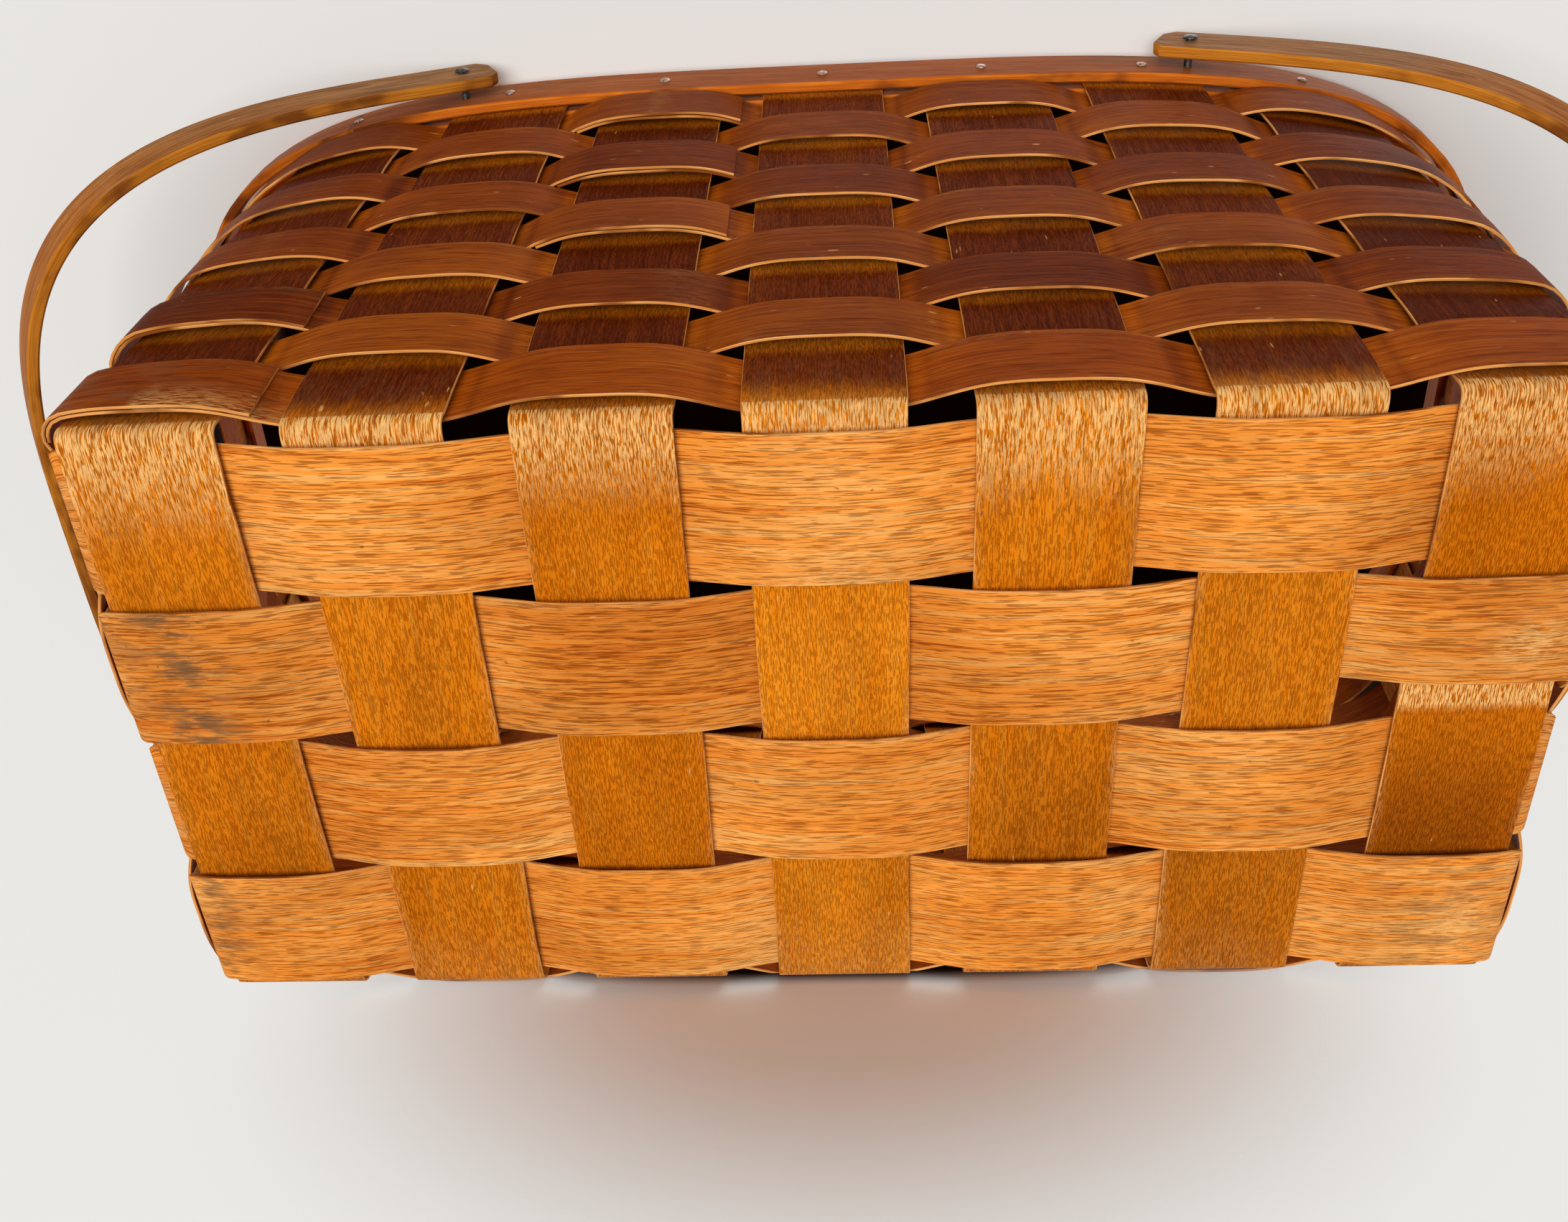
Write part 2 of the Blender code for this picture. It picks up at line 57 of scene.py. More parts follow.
# Stakes
CROSSWISE_COUNT = 7
CROSSWISE_WIDTH = 0.048
CROSSWISE_EDGE_MARGIN = 0.004
CROSSWISE_DRAW_IN = 0.95
LENGTHWISE_COUNT = 4
LENGTHWISE_WIDTH = 0.051
LENGTHWISE_WALL_WIDTH = 0.042
LENGTHWISE_EDGE_MARGIN = 0.005
LENGTHWISE_FAN_OUT = 1.12
STRIP_THICKNESS = 0.0010
BASE_WAVE = 0.0036
CROSSWISE_WAVE = 0.0005
WALL_FOOT = 0.0045
STAKE_TOP_DROP = 0.001
WINDOW_FOOT = 0.022

# Weavers
WEAVER_COUNT = 9
WEAVER_GAP = 0.0006
FIRST_WEAVER_BOTTOM = 0.0083
FIRST_WEAVER_WIDTH = 0.0275
WEAVER_BELOW_RIM = 0.0021
WEAVER_WAVE = 0.0040
LAP_ROWS_AT = (0, 13, 0, 15, 2, 13, 2, 15, 2)

# Rim bands, nails, handles and rivets
RIM_HEIGHT = 0.0195
OUTER_RIM_THICKNESS = 0.0040
INNER_RIM_THICKNESS = 0.0030
RIM_GAP = 0.0006
FIT_GAP = 0.0003
NAIL_HEAD_RADIUS = 0.0021
NAIL_HEAD_HEIGHT = 0.0008
NAIL_SHANK_RADIUS = 0.0008
NAIL_END = 0.0006
PIVOT_STAKE_COUNT = 2
PIVOT_FROM_STAKE = 0.0192
PIVOT_BELOW_TOP = 0.010
HANDLE_REACH = 0.196
HANDLE_ROUNDNESS = 3.4
HANDLE_WIDTH = 0.019
HANDLE_THICKNESS = 0.0045
HANDLE_TAIL = 0.013
HANDLE_END_CLIP = 0.004
HANDLE_TILT = math.radians(8.0)
HANDLE_CLEARANCE = 0.0020
HANDLE_DROP = math.radians(32.0)
RIVET_HEAD_RADIUS = 0.0030
RIVET_HEAD_HEIGHT = 0.0014
RIVET_SHANK_RADIUS = 0.0016

# Shape of one arch of the weave, in strip pitches and as a share of its height
CREST_FLAT = 0.06
ARCH_FULLNESS = 0.3

# Fineness of the meshes
CURVE_POINTS = 4800
STEPS_PER_STAKE = 24
ACROSS_STEPS = 8
SPLINT_BEVEL = 0.00022
BAND_BEVEL = 0.0008
CROSSWISE_STEPS = 120
LENGTHWISE_STEPS = 240
WALL_STEPS = 96
BEND_STEPS = 12
RIM_ACROSS_STEPS = 4
HANDLE_ACROSS_STEPS = 6
TAIL_STEPS = 10
BOW_STEPS = 150
DOME_STEPS = 7
ROUND_SIDES = 28
TANGENT_STEP = 0.004
SHARP_ANGLE = math.radians(35)

# Small irregularities of hand work
EDGE_WANDER = 0.0008
ARCH_VARIATION = 0.10
ARCH_MIDDLE = 0.6
ARCH_ROLL = 0.10
STAKE_WANDER = 0.0005
PRESSED_IN = 0.00035
PRESS_SPREAD = 0.42
NARROWED_STAKE = 1
NARROWED_BY = 0.012
NARROWED_PLACES = (4.9, 5.35)

# Starting numbers of the random lines and grains
SEED_SPACING = 3.71
SEEDS_PER_ROW = 7
WEAVER_GRAIN_SEED = 20
WEAVER_RUB_SEED = 90
NARROW_SEED = 10
TRIM_LOW_SEED = 30
TRIM_HIGH_SEED = 35
CROSSWISE_SEED = 40
CROSSWISE_SIDE_SEED = 60
CROSSWISE_GRAIN_SEED = 1
LENGTHWISE_GRAIN_SEED = 11
LENGTHWISE_END_SEED = 70
LENGTHWISE_SIDE_SEED = 75
LENGTHWISE_TILE_SEED = 80

# How far the varnish has aged, worn off or gathered dirt, where 1 is wholly; a few of these also paint
# highlight and shade, as marked where they stand
WEAVER_AGE = 0.47
WEAVER_AGE_RISE = 0.48
WEAVER_AGE_FALL = 0.12
ARCH_AGE_VARIATION = 0.30
TUCKED_PALER = 0.12
BEHIND_PALER = 0.50
WEAVER_EDGE_WEAR = 0.10
WEAVER_RUB_WEAR = 0.12
CORNER_WEAR = 0.5
CORNER_DIRT = 0.5
WINDOW_AGE = 0.50
# Darker in the bare windows between arches: partly varnish, partly painted shade
WINDOW_VARNISH_AND_SHADE = 0.55
# The pale at the front bend and the wall's foot is partly rubbed wear and partly a painted highlight
FOOT_WEAR_AND_HIGHLIGHT = 0.45
BACK_BEND_WEAR_AND_HIGHLIGHT_SHARE = 0.15
CROSSWISE_SIDE_WEAR = 0.35
BARED_WEAR = 1.1
# Darker towards the back right of the crosswise stakes in the base
BACK_DARKENING = 0.16
BACK_RIGHT_DARKENING = 0.26
CROSSWISE_AGE_VARIATION = 0.10
CROSSWISE_DIRT = 0.25
LENGTHWISE_END_WEAR = 0.55
LENGTHWISE_SIDE_WEAR = 0.40
RIGHT_RUB_WEAR = 0.75
# Pale in the middle of the front strip: partly rubbed wear, partly painted highlight
CENTRE_WEAR_AND_HIGHLIGHT = 0.30
LENGTHWISE_DIRT = 0.18
LEFT_STAIN = 0.85
BACK_STAIN = 0.45
LENGTHWISE_AGE = 0.02
TILE_AGE_VARIATION = 0.10
RIM_AGE = 0.80
RIM_AGE_VARIATION = 0.3
RIM_WEAR = 0.10
RIM_DIRT = 0.75
BOW_AGE = 0.30
LEG_OLDER = 0.62
HANDLE_AGE_VARIATION = 0.25
HANDLE_WEAR = 0.16
HANDLE_END_DIRT = 0.35
BAND_VARIATION = 0.4

# Values that follow from the sizes above
CROSSWISE_PITCH = (
    (BASE_LENGTH - 2 * CROSSWISE_EDGE_MARGIN - CROSSWISE_WIDTH) / (CROSSWISE_COUNT - 1)
)
LENGTHWISE_PITCH = (
    (BASE_WIDTH - 2 * LENGTHWISE_EDGE_MARGIN - LENGTHWISE_WIDTH) / (LENGTHWISE_COUNT - 1)
)
BASE_MIDDLE_Z = BASE_WAVE + STRIP_THICKNESS / 2
FOOT_Z = BASE_MIDDLE_Z + WALL_FOOT
RIM_BOTTOM = HEIGHT - RIM_HEIGHT
SECOND_WEAVER_BOTTOM = FIRST_WEAVER_BOTTOM + FIRST_WEAVER_WIDTH + WEAVER_GAP
WEAVER_PITCH = (
    (RIM_BOTTOM - WEAVER_BELOW_RIM + WEAVER_GAP - SECOND_WEAVER_BOTTOM) / (WEAVER_COUNT - 1)
)
WEAVER_WIDTH = WEAVER_PITCH - WEAVER_GAP
PIVOT_X = PIVOT_STAKE_COUNT * CROSSWISE_PITCH * CROSSWISE_DRAW_IN + PIVOT_FROM_STAKE
NAIL_Z = HEIGHT - PIVOT_BELOW_TOP
OUTER_RIM_INSIDE = STRIP_THICKNESS / 2 + RIM_GAP
OUTER_RIM_OUTSIDE = OUTER_RIM_INSIDE + OUTER_RIM_THICKNESS
INNER_RIM_OUTSIDE = -STRIP_THICKNESS / 2 - RIM_GAP
INNER_RIM_INSIDE = INNER_RIM_OUTSIDE - INNER_RIM_THICKNESS
STAKE_COUNT = 2 * (CROSSWISE_COUNT + LENGTHWISE_COUNT)

# The photograph's camera, in the frame of the model
IMAGE_WIDTH = 2184
FOCAL_PIXELS = 2000
CAMERA_SENSOR = 36.0
CAMERA_CLIP_START = 0.01
CAMERA_PLACE = (0.0067, -0.2756, -0.3725)
CAMERA_RIGHT = (0.99848, 0.04798, 0.02704)
CAMERA_UP = (0.02676, -0.85181, 0.52317)


def wave(distance):
    """Height of the weave, 1 at a crest and 0 halfway to the next, in strip pitches."""
    past_flat = np.maximum(0.0, np.abs(distance) - CREST_FLAT)
    height = np.cos(past_flat / (0.5 - CREST_FLAT) * math.pi / 2)
    return height * (1 + ARCH_FULLNESS * (1 - height * height))


def smooth(low, high, value):
    t = np.clip((np.asarray(value, float) - low) / (high - low), 0.0, 1.0)
    return t * t * (3 - 2 * t)


def hump(value, middle, spread):
    return np.exp(-((np.asarray(value, float) - middle) / spread) ** 2)


def wander(seed, places, spacing):
    """A smooth random line between 0 and 1, with a new value at each spacing."""
    chance = random.Random(seed)
    marks = np.array([chance.random() for _ in range(256)])
    spot = np.asarray(places, float) / spacing + 64
    low = np.floor(spot).astype(int) % 256
    share = spot - np.floor(spot)
    share = share * share * (3 - 2 * share)
    return marks[low] * (1 - share) + marks[(low + 1) % 256] * share


class PlanCurve:
    """A closed outline seen from above, read by its length from the front middle."""

    def __init__(self, points):
        closed = np.vstack([points, points[:1]])
        steps = np.hypot(*np.diff(closed, axis=0).T)
        self.points = closed
        self.lengths = np.concatenate([[0.0], np.cumsum(steps)])
        self.total = self.lengths[-1]
        self.quarter = slice(len(closed) // 4 + 1)

    def at(self, length):
        place = np.asarray(length) % self.total
        x, y = self.points.T
        return np.stack([np.interp(place, self.lengths, x), np.interp(place, self.lengths, y)], -1)

    def length_at_x(self, x):
        found = np.interp(abs(x), self.points[self.quarter, 0], self.lengths[self.quarter])
        return math.copysign(found, x)

    def length_at_y(self, y):
        front = np.interp(-abs(y), self.points[self.quarter, 1], self.lengths[self.quarter])
        return front if y < 0 else self.total / 2 - front


def superellipse(half_x, half_y, roundness):
    angles = np.linspace(-math.pi / 2, 3 * math.pi / 2, CURVE_POINTS, endpoint=False)
    cosines, sines = np.cos(angles), np.sin(angles)
    x = half_x * np.sign(cosines) * np.abs(cosines) ** (2 / roundness)
    y = half_y * np.sign(sines) * np.abs(sines) ** (2 / roundness)
    return np.column_stack([x, y])


def rounded_rectangle(half_x, half_y, radius):
    """One quarter is laid out from the front middle, then mirrored round."""
    each = CURVE_POINTS // 12
    steps = np.linspace(0, 1, each, endpoint=False)
    front = [(t * (half_x - radius), -half_y) for t in steps]
    turn = [
        (half_x - radius + radius * math.sin(a), -half_y + radius - radius * math.cos(a))
        for a in np.linspace(0, math.pi / 2, each, endpoint=False)
    ]
    end = [(half_x, -(1 - t) * (half_y - radius)) for t in steps]
    quarter = np.array(front + turn + end)
    half = np.vstack([quarter, [(half_x, 0.0)], quarter[:0:-1] * (1, -1)])
    return np.vstack([half, half * (-1, -1)])


def over(crossing):
    """1 where a strip goes over, at an even crossing, and -1 where it goes under."""
    return 1.0 - 2.0 * (crossing % 2)


def spaced(count, pitch):
    return [(n - (count - 1) / 2) * pitch for n in range(count)]


class Walls:
    """The middle surface of the walls; a place is counted in stakes from the left front one."""

    def __init__(self):
        self.base = PlanCurve(rounded_rectangle(BASE_LENGTH / 2, BASE_WIDTH / 2, BASE_CORNER_RADIUS))
        self.rim = PlanCurve(superellipse(RIM_LENGTH / 2, RIM_WIDTH / 2, RIM_ROUNDNESS))
        self.across = spaced(CROSSWISE_COUNT, CROSSWISE_PITCH)
        self.along = spaced(LENGTHWISE_COUNT, LENGTHWISE_PITCH)
        self.base_table = self.place_table(self.base, self.across, self.along)
        self.rim_table = self.place_table(
            self.rim,
            [x * CROSSWISE_DRAW_IN for x in self.across],
            [y * LENGTHWISE_FAN_OUT for y in self.along],
        )

    def is_crosswise(self, index):
        return index % (CROSSWISE_COUNT + LENGTHWISE_COUNT) < CROSSWISE_COUNT

    def half_width(self, index):
        return (CROSSWISE_WIDTH if self.is_crosswise(index) else LENGTHWISE_WALL_WIDTH) / 2

    def half_share(self, index):
        """Half a stake's width as a share of the pitch of its side."""
        pitch = CROSSWISE_PITCH if self.is_crosswise(index) else LENGTHWISE_PITCH
        return self.half_width(index) / pitch

    def place_table(self, curve, across, along):
        """Places of the stake edges and middles against the length along the curve."""
        centres = [curve.length_at_x(x) for x in across]
        centres += [curve.length_at_y(y) for y in along]
        centres += [length + curve.total / 2 for length in centres]
        places, lengths = [], []
        for turn in (-1, 0, 1):
            for index, centre in enumerate(centres):
                for side in (-1, 0, 1):
                    places.append(turn * STAKE_COUNT + index + side * self.half_share(index))
                    lengths.append(turn * curve.total + centre + side * self.half_width(index))
        return places, lengths

    def plan(self, place, z):
        share = ((np.asarray(z) - BASE_MIDDLE_Z) / (HEIGHT - BASE_MIDDLE_Z))[..., None]
        wrapped = np.asarray(place) % STAKE_COUNT
        low = self.base.at(np.interp(wrapped, *self.base_table))
        high = self.rim.at(np.interp(wrapped, *self.rim_table))
        return low + (high - low) * share

    def points(self, place, z, offset):
        """Points at an offset outwards from the middle surface, level with z."""
        place, z, offset = np.broadcast_arrays(place, z, offset)
        tangent = self.plan(place + TANGENT_STEP, z) - self.plan(place - TANGENT_STEP, z)
        tangent /= np.linalg.norm(tangent, axis=-1, keepdims=True)
        outward = np.stack([tangent[..., 1], -tangent[..., 0]], -1)
        spot = self.plan(place, z) + outward * offset[..., None]
        return np.concatenate([spot, z[..., None]], -1)


walls = Walls()


def row_span(row):
    """Lowest and highest z of a weaver."""
    if row == 0:
        return FIRST_WEAVER_BOTTOM, FIRST_WEAVER_BOTTOM + FIRST_WEAVER_WIDTH
    low = SECOND_WEAVER_BOTTOM + (row - 1) * WEAVER_PITCH
    return low, low + WEAVER_WIDTH


def across_columns(half_width, bevel, steps):
    """Places across a strip, with a bevel's column next to each edge."""
    inner = np.linspace(-half_width + bevel, half_width - bevel, steps + 1)
    return np.concatenate([[-half_width], inner, [half_width]])


def grid_normals(middle, closed):
    """Unit normals of a grid of points, along the first axis and across the second."""
    if closed:
        along = np.roll(middle, -1, 0) - np.roll(middle, 1, 0)
    else:
        along = np.gradient(middle, axis=0)
    across = np.gradient(middle, axis=1)
    normal = np.cross(along, across)
    return normal / np.maximum(np.linalg.norm(normal, axis=-1, keepdims=True), 1e-12)


def strip(name, middle, across, thickness, bevel, seed, tone, materials, closed=False):
    """A bevelled strip on a grid of middle points, with grain and tone on its points.

    across is the place of each column, and the seed sets its grain apart from the others'.
    The tone is the wear, dirt, age and variation that the wood materials read.  The first
    material is on both faces and the second is on the cut edges and ends.
    """
    count, width = middle.shape[:2]
    normal = grid_normals(middle, closed)
    face, edge = thickness / 2, thickness / 2 - bevel
    faces_of = list(range(1, width - 1))
    section = [(j, face) for j in faces_of]
    section += [(width - 1, edge), (width - 1, -edge)]
    section += [(j, -face) for j in reversed(faces_of)]
    section += [(0, -edge), (0, edge)]
    columns = [j for j, _ in section]
    heights = np.array([height for _, height in section])
    points = middle[:, columns] + normal[:, columns] * heights[None, :, None]
    size = len(section)
    quads, slots = [], []
    sections = count if closed else count - 1
    for i in range(sections):
        near, far = i * size, ((i + 1) % count) * size
        for k in range(size):
            m = (k + 1) % size
            quads.append((near + k, near + m, far + m, far + k))
            cut = columns[k] in (0, width - 1) or columns[m] in (0, width - 1)
            slots.append(int(cut))
    if not closed:
        side = len(faces_of)
        for first in (0, (count - 1) * size):
            for k in range(side - 1):
                back = 2 * side + 1 - k
                quads.append((first + k, first + k + 1, first + back - 1, first + back))
                slots.append(1)
            quads.append((first + side - 1, first + side, first + side + 1, first + side + 2))
            quads.append((first, first + size - 1, first + size - 2, first + 2 * side + 1))
            slots += [1, 1]
    mesh = bpy.data.meshes.new(name)
    mesh.from_pydata(points.reshape(-1, 3).tolist(), [], quads)
    mesh.polygons.foreach_set("material_index", slots)
    for material in materials:
        mesh.materials.append(material)
    spread = grain_of(middle, across, seed)[:, columns]
    spread[..., 1] += heights * np.isin(columns, (0, width - 1))
    grains = mesh.attributes.new("grain", "FLOAT_VECTOR", "POINT")
    grains.data.foreach_set("vector", spread.reshape(-1).astype(np.float32))
    tones = mesh.attributes.new("tone", "FLOAT_COLOR", "POINT")
    tones.data.foreach_set("color", tone[:, columns].reshape(-1).astype(np.float32))
    return finished(name, mesh)


def new_object(name, data):
    thing = bpy.data.objects.new(name, data)
    bpy.context.scene.collection.objects.link(thing)
    return thing


def finished(name, mesh):
    """Turns the faces outwards, smooths the round parts and makes the object."""
    mesh.validate()
    piece = new_object(name, mesh)
    bpy.context.view_layer.objects.active = piece
    piece.select_set(True)
    bpy.ops.object.mode_set(mode="EDIT")
    bpy.ops.mesh.select_all(action="SELECT")
    bpy.ops.mesh.normals_make_consistent(inside=False)
    bpy.ops.object.mode_set(mode="OBJECT")
    piece.select_set(False)
    mesh.shade_smooth()
    mesh.set_sharp_from_angle(angle=SHARP_ANGLE)
    return piece


def stacked(*layers):
    """Layers of numbers, spread to their common shape, as the last axis of one array."""
    return np.stack(np.broadcast_arrays(*layers), -1).astype(float)


def grain_of(middle, across, seed):
    """Metres along the strip, metres across it, and a number that differs for each strip."""
    centre = middle[:, middle.shape[1] // 2]
    lengths = np.concatenate([[0.0], np.cumsum(np.linalg.norm(np.diff(centre, axis=0), axis=1))])
    return stacked(lengths[:, None], across, seed * SEED_SPACING)


class Nodes:
    """Short names for the nodes that the materials and the world use."""

    def __init__(self, owner):
        owner.use_nodes = True
        self.owner = owner
        self.tree = owner.node_tree

    def put(self, socket, value):
        if isinstance(value, bpy.types.NodeSocket):
            self.tree.links.new(value, socket)
        elif socket.type == "RGBA":
            socket.default_value = (*value, 1.0)
        else:
            socket.default_value = value

    def fill(self, node, sockets):
        for socket, value in sockets.items():
            self.put(node.inputs[socket], value)
        return node

    def add(self, kind, sockets=()):
        return self.fill(self.tree.nodes.new("ShaderNode" + kind), dict(sockets))

    def attribute(self, name):
        node = self.add("Attribute")
        node.attribute_name = name
        return node.outputs

    def math(self, operation, first, second=0.0, clamp=False):
        node = self.add("Math", {0: first, 1: second})
        node.operation = operation
        node.use_clamp = clamp
        return node.outputs[0]

    def total(self, *terms):
        """The sum of some values, each one times its share."""
        first, *rest = [self.math("MULTIPLY", value, share) for value, share in terms]
        for term in rest:
            first = self.math("ADD", first, term)
        return first

    def vector(self, operation, first, second=(0.0, 0.0, 0.0)):
        """One step with vectors; a length comes out as a number."""
        node = self.add("VectorMath", {0: first, 1: second})
        node.operation = operation
        return node.outputs["Value" if operation == "LENGTH" else "Vector"]

    def stretch(self, vector, scales):
        return self.vector("MULTIPLY", vector, scales)

    def noise(self, vector, detail, roughness, distortion=0.0):
        sockets = {"Vector": vector, "Scale": 1.0, "Detail": detail, "Roughness": roughness,
                   "Distortion": distortion}
        return self.add("TexNoise", sockets).outputs[0]

    def marks(self, grain, scales, detail, roughness, distortion=0.0):
        """Noise on a strip, with so many marks per metre along it and across it."""
        return self.noise(self.stretch(grain, (*scales, 1.0)), detail, roughness, distortion)

    def between(self, value, low, high):
        """0 below low, 1 above high, smooth between; low may be the higher one."""
        falling = float(low > high)
        sockets = {"Value": value, "From Min": min(low, high), "From Max": max(low, high),
                   "To Min": falling, "To Max": 1.0 - falling}
        node = self.add("MapRange", sockets)
        node.interpolation_type = "SMOOTHSTEP"
        return node.outputs[0]

    def mix(self, share, first, second, blend="MIX"):
        node = self.add("Mix")
        node.data_type = "RGBA"
        node.blend_type = blend
        return self.fill(node, {0: share, 6: first, 7: second}).outputs[2]

    def bump(self, height, distance):
        return self.add("Bump", {"Height": height, "Distance": distance, "Strength": 1.0}).outputs[0]

    def finish(self, colour, roughness, normal, specular=0.5, metallic=0.0):
        sockets = {"Base Color": colour, "Roughness": roughness, "Normal": normal,
                   "Metallic": metallic, "Specular IOR Level": specular}
        self.fill(self.tree.nodes["Principled BSDF"], sockets)
        return self.owner

    def surface(self, share, first, second, output):
        """Two shaders mixed by a share, as the surface that an output node shows."""
        mix = self.add("MixShader", {0: share, 1: first.outputs[0], 2: second.outputs[0]})
        self.fill(self.tree.nodes[output], {"Surface": mix.outputs[0]})


WORN_WOOD = (0.90, 0.50, 0.17)
GREY_DIRT = (0.17, 0.088, 0.040)
CLOUD_TINT = (0.55, 0.42, 0.30)
PORE_TINT = (0.42, 0.30, 0.20)
SPECK_COLOUR = (0.10, 0.045, 0.02)
SHEEN = 0.005
WOOD_ROUGHNESS = 0.30
EDGE_ROUGHNESS = 0.62
WOOD_RELIEF = 0.00030
EDGE_RELIEF = 0.00025
METAL_RELIEF = 0.00008

# Marks in the wood, in marks per metre along a strip and across it
FIBRES = (34.0, 2300.0)
CLOUDS = (11.0, 34.0)
PATCHES = (9.0, 17.0)
FURROWS = (260.0, 2300.0)
BLOTS = (60.0, 190.0)
SPECKS = (260.0, 330.0)
NICKS = (120.0, 520.0)
EDGE_FIBRES = (40.0, 4200.0)
EDGE_PATCHES = (26.0, 60.0)
METAL_SPOTS = (900.0, 900.0, 900.0)


def splint(name, fresh, aged, pores, streaks, contrast=1.0):
    """Varnished splint.  fresh and aged are (pale, middle, deep) colours.

    pores are (marks per metre along, across, share of darkness, low, high), streaks are
    (marks per metre along, across) and contrast is how strongly they show.
    """
    n = Nodes(bpy.data.materials.new(name))
    grain = n.attribute("grain")["Vector"]
    tone = n.attribute("tone")
    wear, dirt, age = n.add("SeparateColor", {0: tone["Color"]}).outputs
    variation = tone["Alpha"]
    pore_along, pore_across, pore_depth, pore_low, pore_high = pores
    broad = n.marks(grain, streaks, 3.0, 0.65, 0.2)
    fine = n.marks(grain, FIBRES, 3.0, 0.65)
    cloud = n.marks(grain, CLOUDS, 3.0, 0.55)
    pore = n.between(n.marks(grain, (pore_along, pore_across), 1.5, 0.5), pore_low, pore_high)
    patch = n.marks(grain, PATCHES, 2.0, 0.5)
    light = n.total((broad, 0.55), (fine, 0.35), (patch, 0.10 + 0.18 * (contrast - 1)))
    light = n.math("SUBTRACT", light, 0.09 * (contrast - 1))
    light = n.math("ADD", light, n.math("MULTIPLY", n.math("SUBTRACT", 0.5, variation), 0.10))
    spread = 0.10 / contrast
    pale_share = n.between(light, 0.55 - spread, 0.55 + spread)
    deep_share = n.math("MULTIPLY", n.between(light, 0.48, 0.48 - 1.7 * spread), 0.8)

    def wood(colours):
        pale, middle, deep = colours
        return n.mix(deep_share, n.mix(pale_share, middle, pale), deep)

    uneven = n.math("SUBTRACT", n.total((cloud, 0.5), (broad, 0.9)), 0.7)
    varnish = n.math("ADD", age, uneven, True)
    colour = n.mix(varnish, wood(fresh), wood(aged))
    shade = n.between(n.math("ADD", cloud, n.math("MULTIPLY", variation, 0.35)), 0.35, 0.90)
    colour = n.mix(n.math("MULTIPLY", shade, 0.30), colour, CLOUD_TINT, "MULTIPLY")
    colour = n.mix(n.math("MULTIPLY", pore, pore_depth, True), colour, PORE_TINT, "MULTIPLY")
    furrows = n.between(n.marks(grain, FURROWS, 1.5, 0.5), 0.56, 0.46)
    patchy = n.between(n.math("ADD", cloud, n.math("MULTIPLY", wear, 0.35)), 0.38, 0.62)
    rubbed = n.math("MULTIPLY", n.math("MULTIPLY", wear, furrows), patchy, True)
    colour = n.mix(rubbed, colour, WORN_WOOD)
    blots = n.between(n.marks(grain, BLOTS, 4.0, 0.65), 0.44, 0.62)
    colour = n.mix(n.math("MULTIPLY", dirt, blots, True), colour, GREY_DIRT)
    specks = n.between(n.marks(grain, SPECKS, 1.0, 0.5), 0.77, 0.83)
    colour = n.mix(n.math("MULTIPLY", specks, 0.55), colour, SPECK_COLOUR)
    nicks = n.between(n.marks(grain, NICKS, 1.0, 0.5), 0.76, 0.82)
    colour = n.mix(n.math("MULTIPLY", nicks, 0.5), colour, WORN_WOOD)
    relief = n.total((fine, 0.55), (pore, -0.5), (broad, 0.6))
    rough = n.math("ADD", n.total((rubbed, 0.22), (fine, 0.16)), WOOD_ROUGHNESS)
    return n.finish(colour, rough, n.bump(relief, WOOD_RELIEF), specular=SHEEN)


def cut_edge(name, pale, middle, deep):
    """Raw wood on cut edges: bright fibres along the strip and a little grime."""
    n = Nodes(bpy.data.materials.new(name))
    grain = n.attribute("grain")["Vector"]
    fibres = n.marks(grain, EDGE_FIBRES, 3.0, 0.6)
    patches = n.marks(grain, EDGE_PATCHES, 3.0, 0.6)
    colour = n.mix(n.between(fibres, 0.38, 0.62), middle, pale)
    colour = n.mix(n.between(patches, 0.46, 0.64), colour, deep)
    return n.finish(colour, EDGE_ROUGHNESS, n.bump(fibres, EDGE_RELIEF), specular=SHEEN)


def metal(name, colour, stain):
    """Dull metal with stained spots."""
    n = Nodes(bpy.data.materials.new(name))
    place = n.add("TexCoord").outputs["Object"]
    spots = n.noise(n.stretch(place, METAL_SPOTS), 3.0, 0.6)
    mixed = n.mix(n.between(spots, 0.42, 0.60), colour, stain)
    rough = n.math("ADD", n.math("MULTIPLY", spots, 0.4), 0.28)
    return n.finish(mixed, rough, n.bump(spots, METAL_RELIEF), metallic=0.85)


AGED = ((0.265, 0.056, 0.005), (0.160, 0.026, 0.0025), (0.072, 0.011, 0.0016))
AGED_STAKE = ((0.205, 0.036, 0.004), (0.118, 0.017, 0.002), (0.052, 0.008, 0.0015))
lengthwise_wood = splint(
    "lengthwise_wood",
    fresh=((0.97, 0.46, 0.120), (0.88, 0.290, 0.038), (0.56, 0.120, 0.010)),
    aged=AGED_STAKE, pores=(110.0, 2100.0, 0.80, 0.53, 0.62), streaks=(8.0, 560.0), contrast=1.8,
)
crosswise_wood = splint(
    "crosswise_wood",
    fresh=((0.86, 0.290, 0.016), (0.76, 0.200, 0.0040), (0.50, 0.105, 0.0030)),
    aged=AGED_STAKE, pores=(330.0, 2900.0, 0.60, 0.50, 0.60), streaks=(22.0, 800.0),
)
weaver_wood = splint(
    "weaver_wood",
    fresh=((0.62, 0.165, 0.0085), (0.49, 0.098, 0.0045), (0.29, 0.046, 0.0030)),
    aged=AGED, pores=(80.0, 2300.0, 0.60, 0.54, 0.64), streaks=(8.0, 620.0), contrast=1.7,
)
rim_face = splint(
    "rim_face",
    fresh=((0.60, 0.170, 0.030), (0.46, 0.105, 0.016), (0.26, 0.050, 0.009)),
    aged=((0.430, 0.135, 0.045), (0.310, 0.085, 0.026), (0.150, 0.037, 0.012)),
    pores=(60.0, 1200.0, 0.40, 0.54, 0.66), streaks=(7.0, 260.0),
)
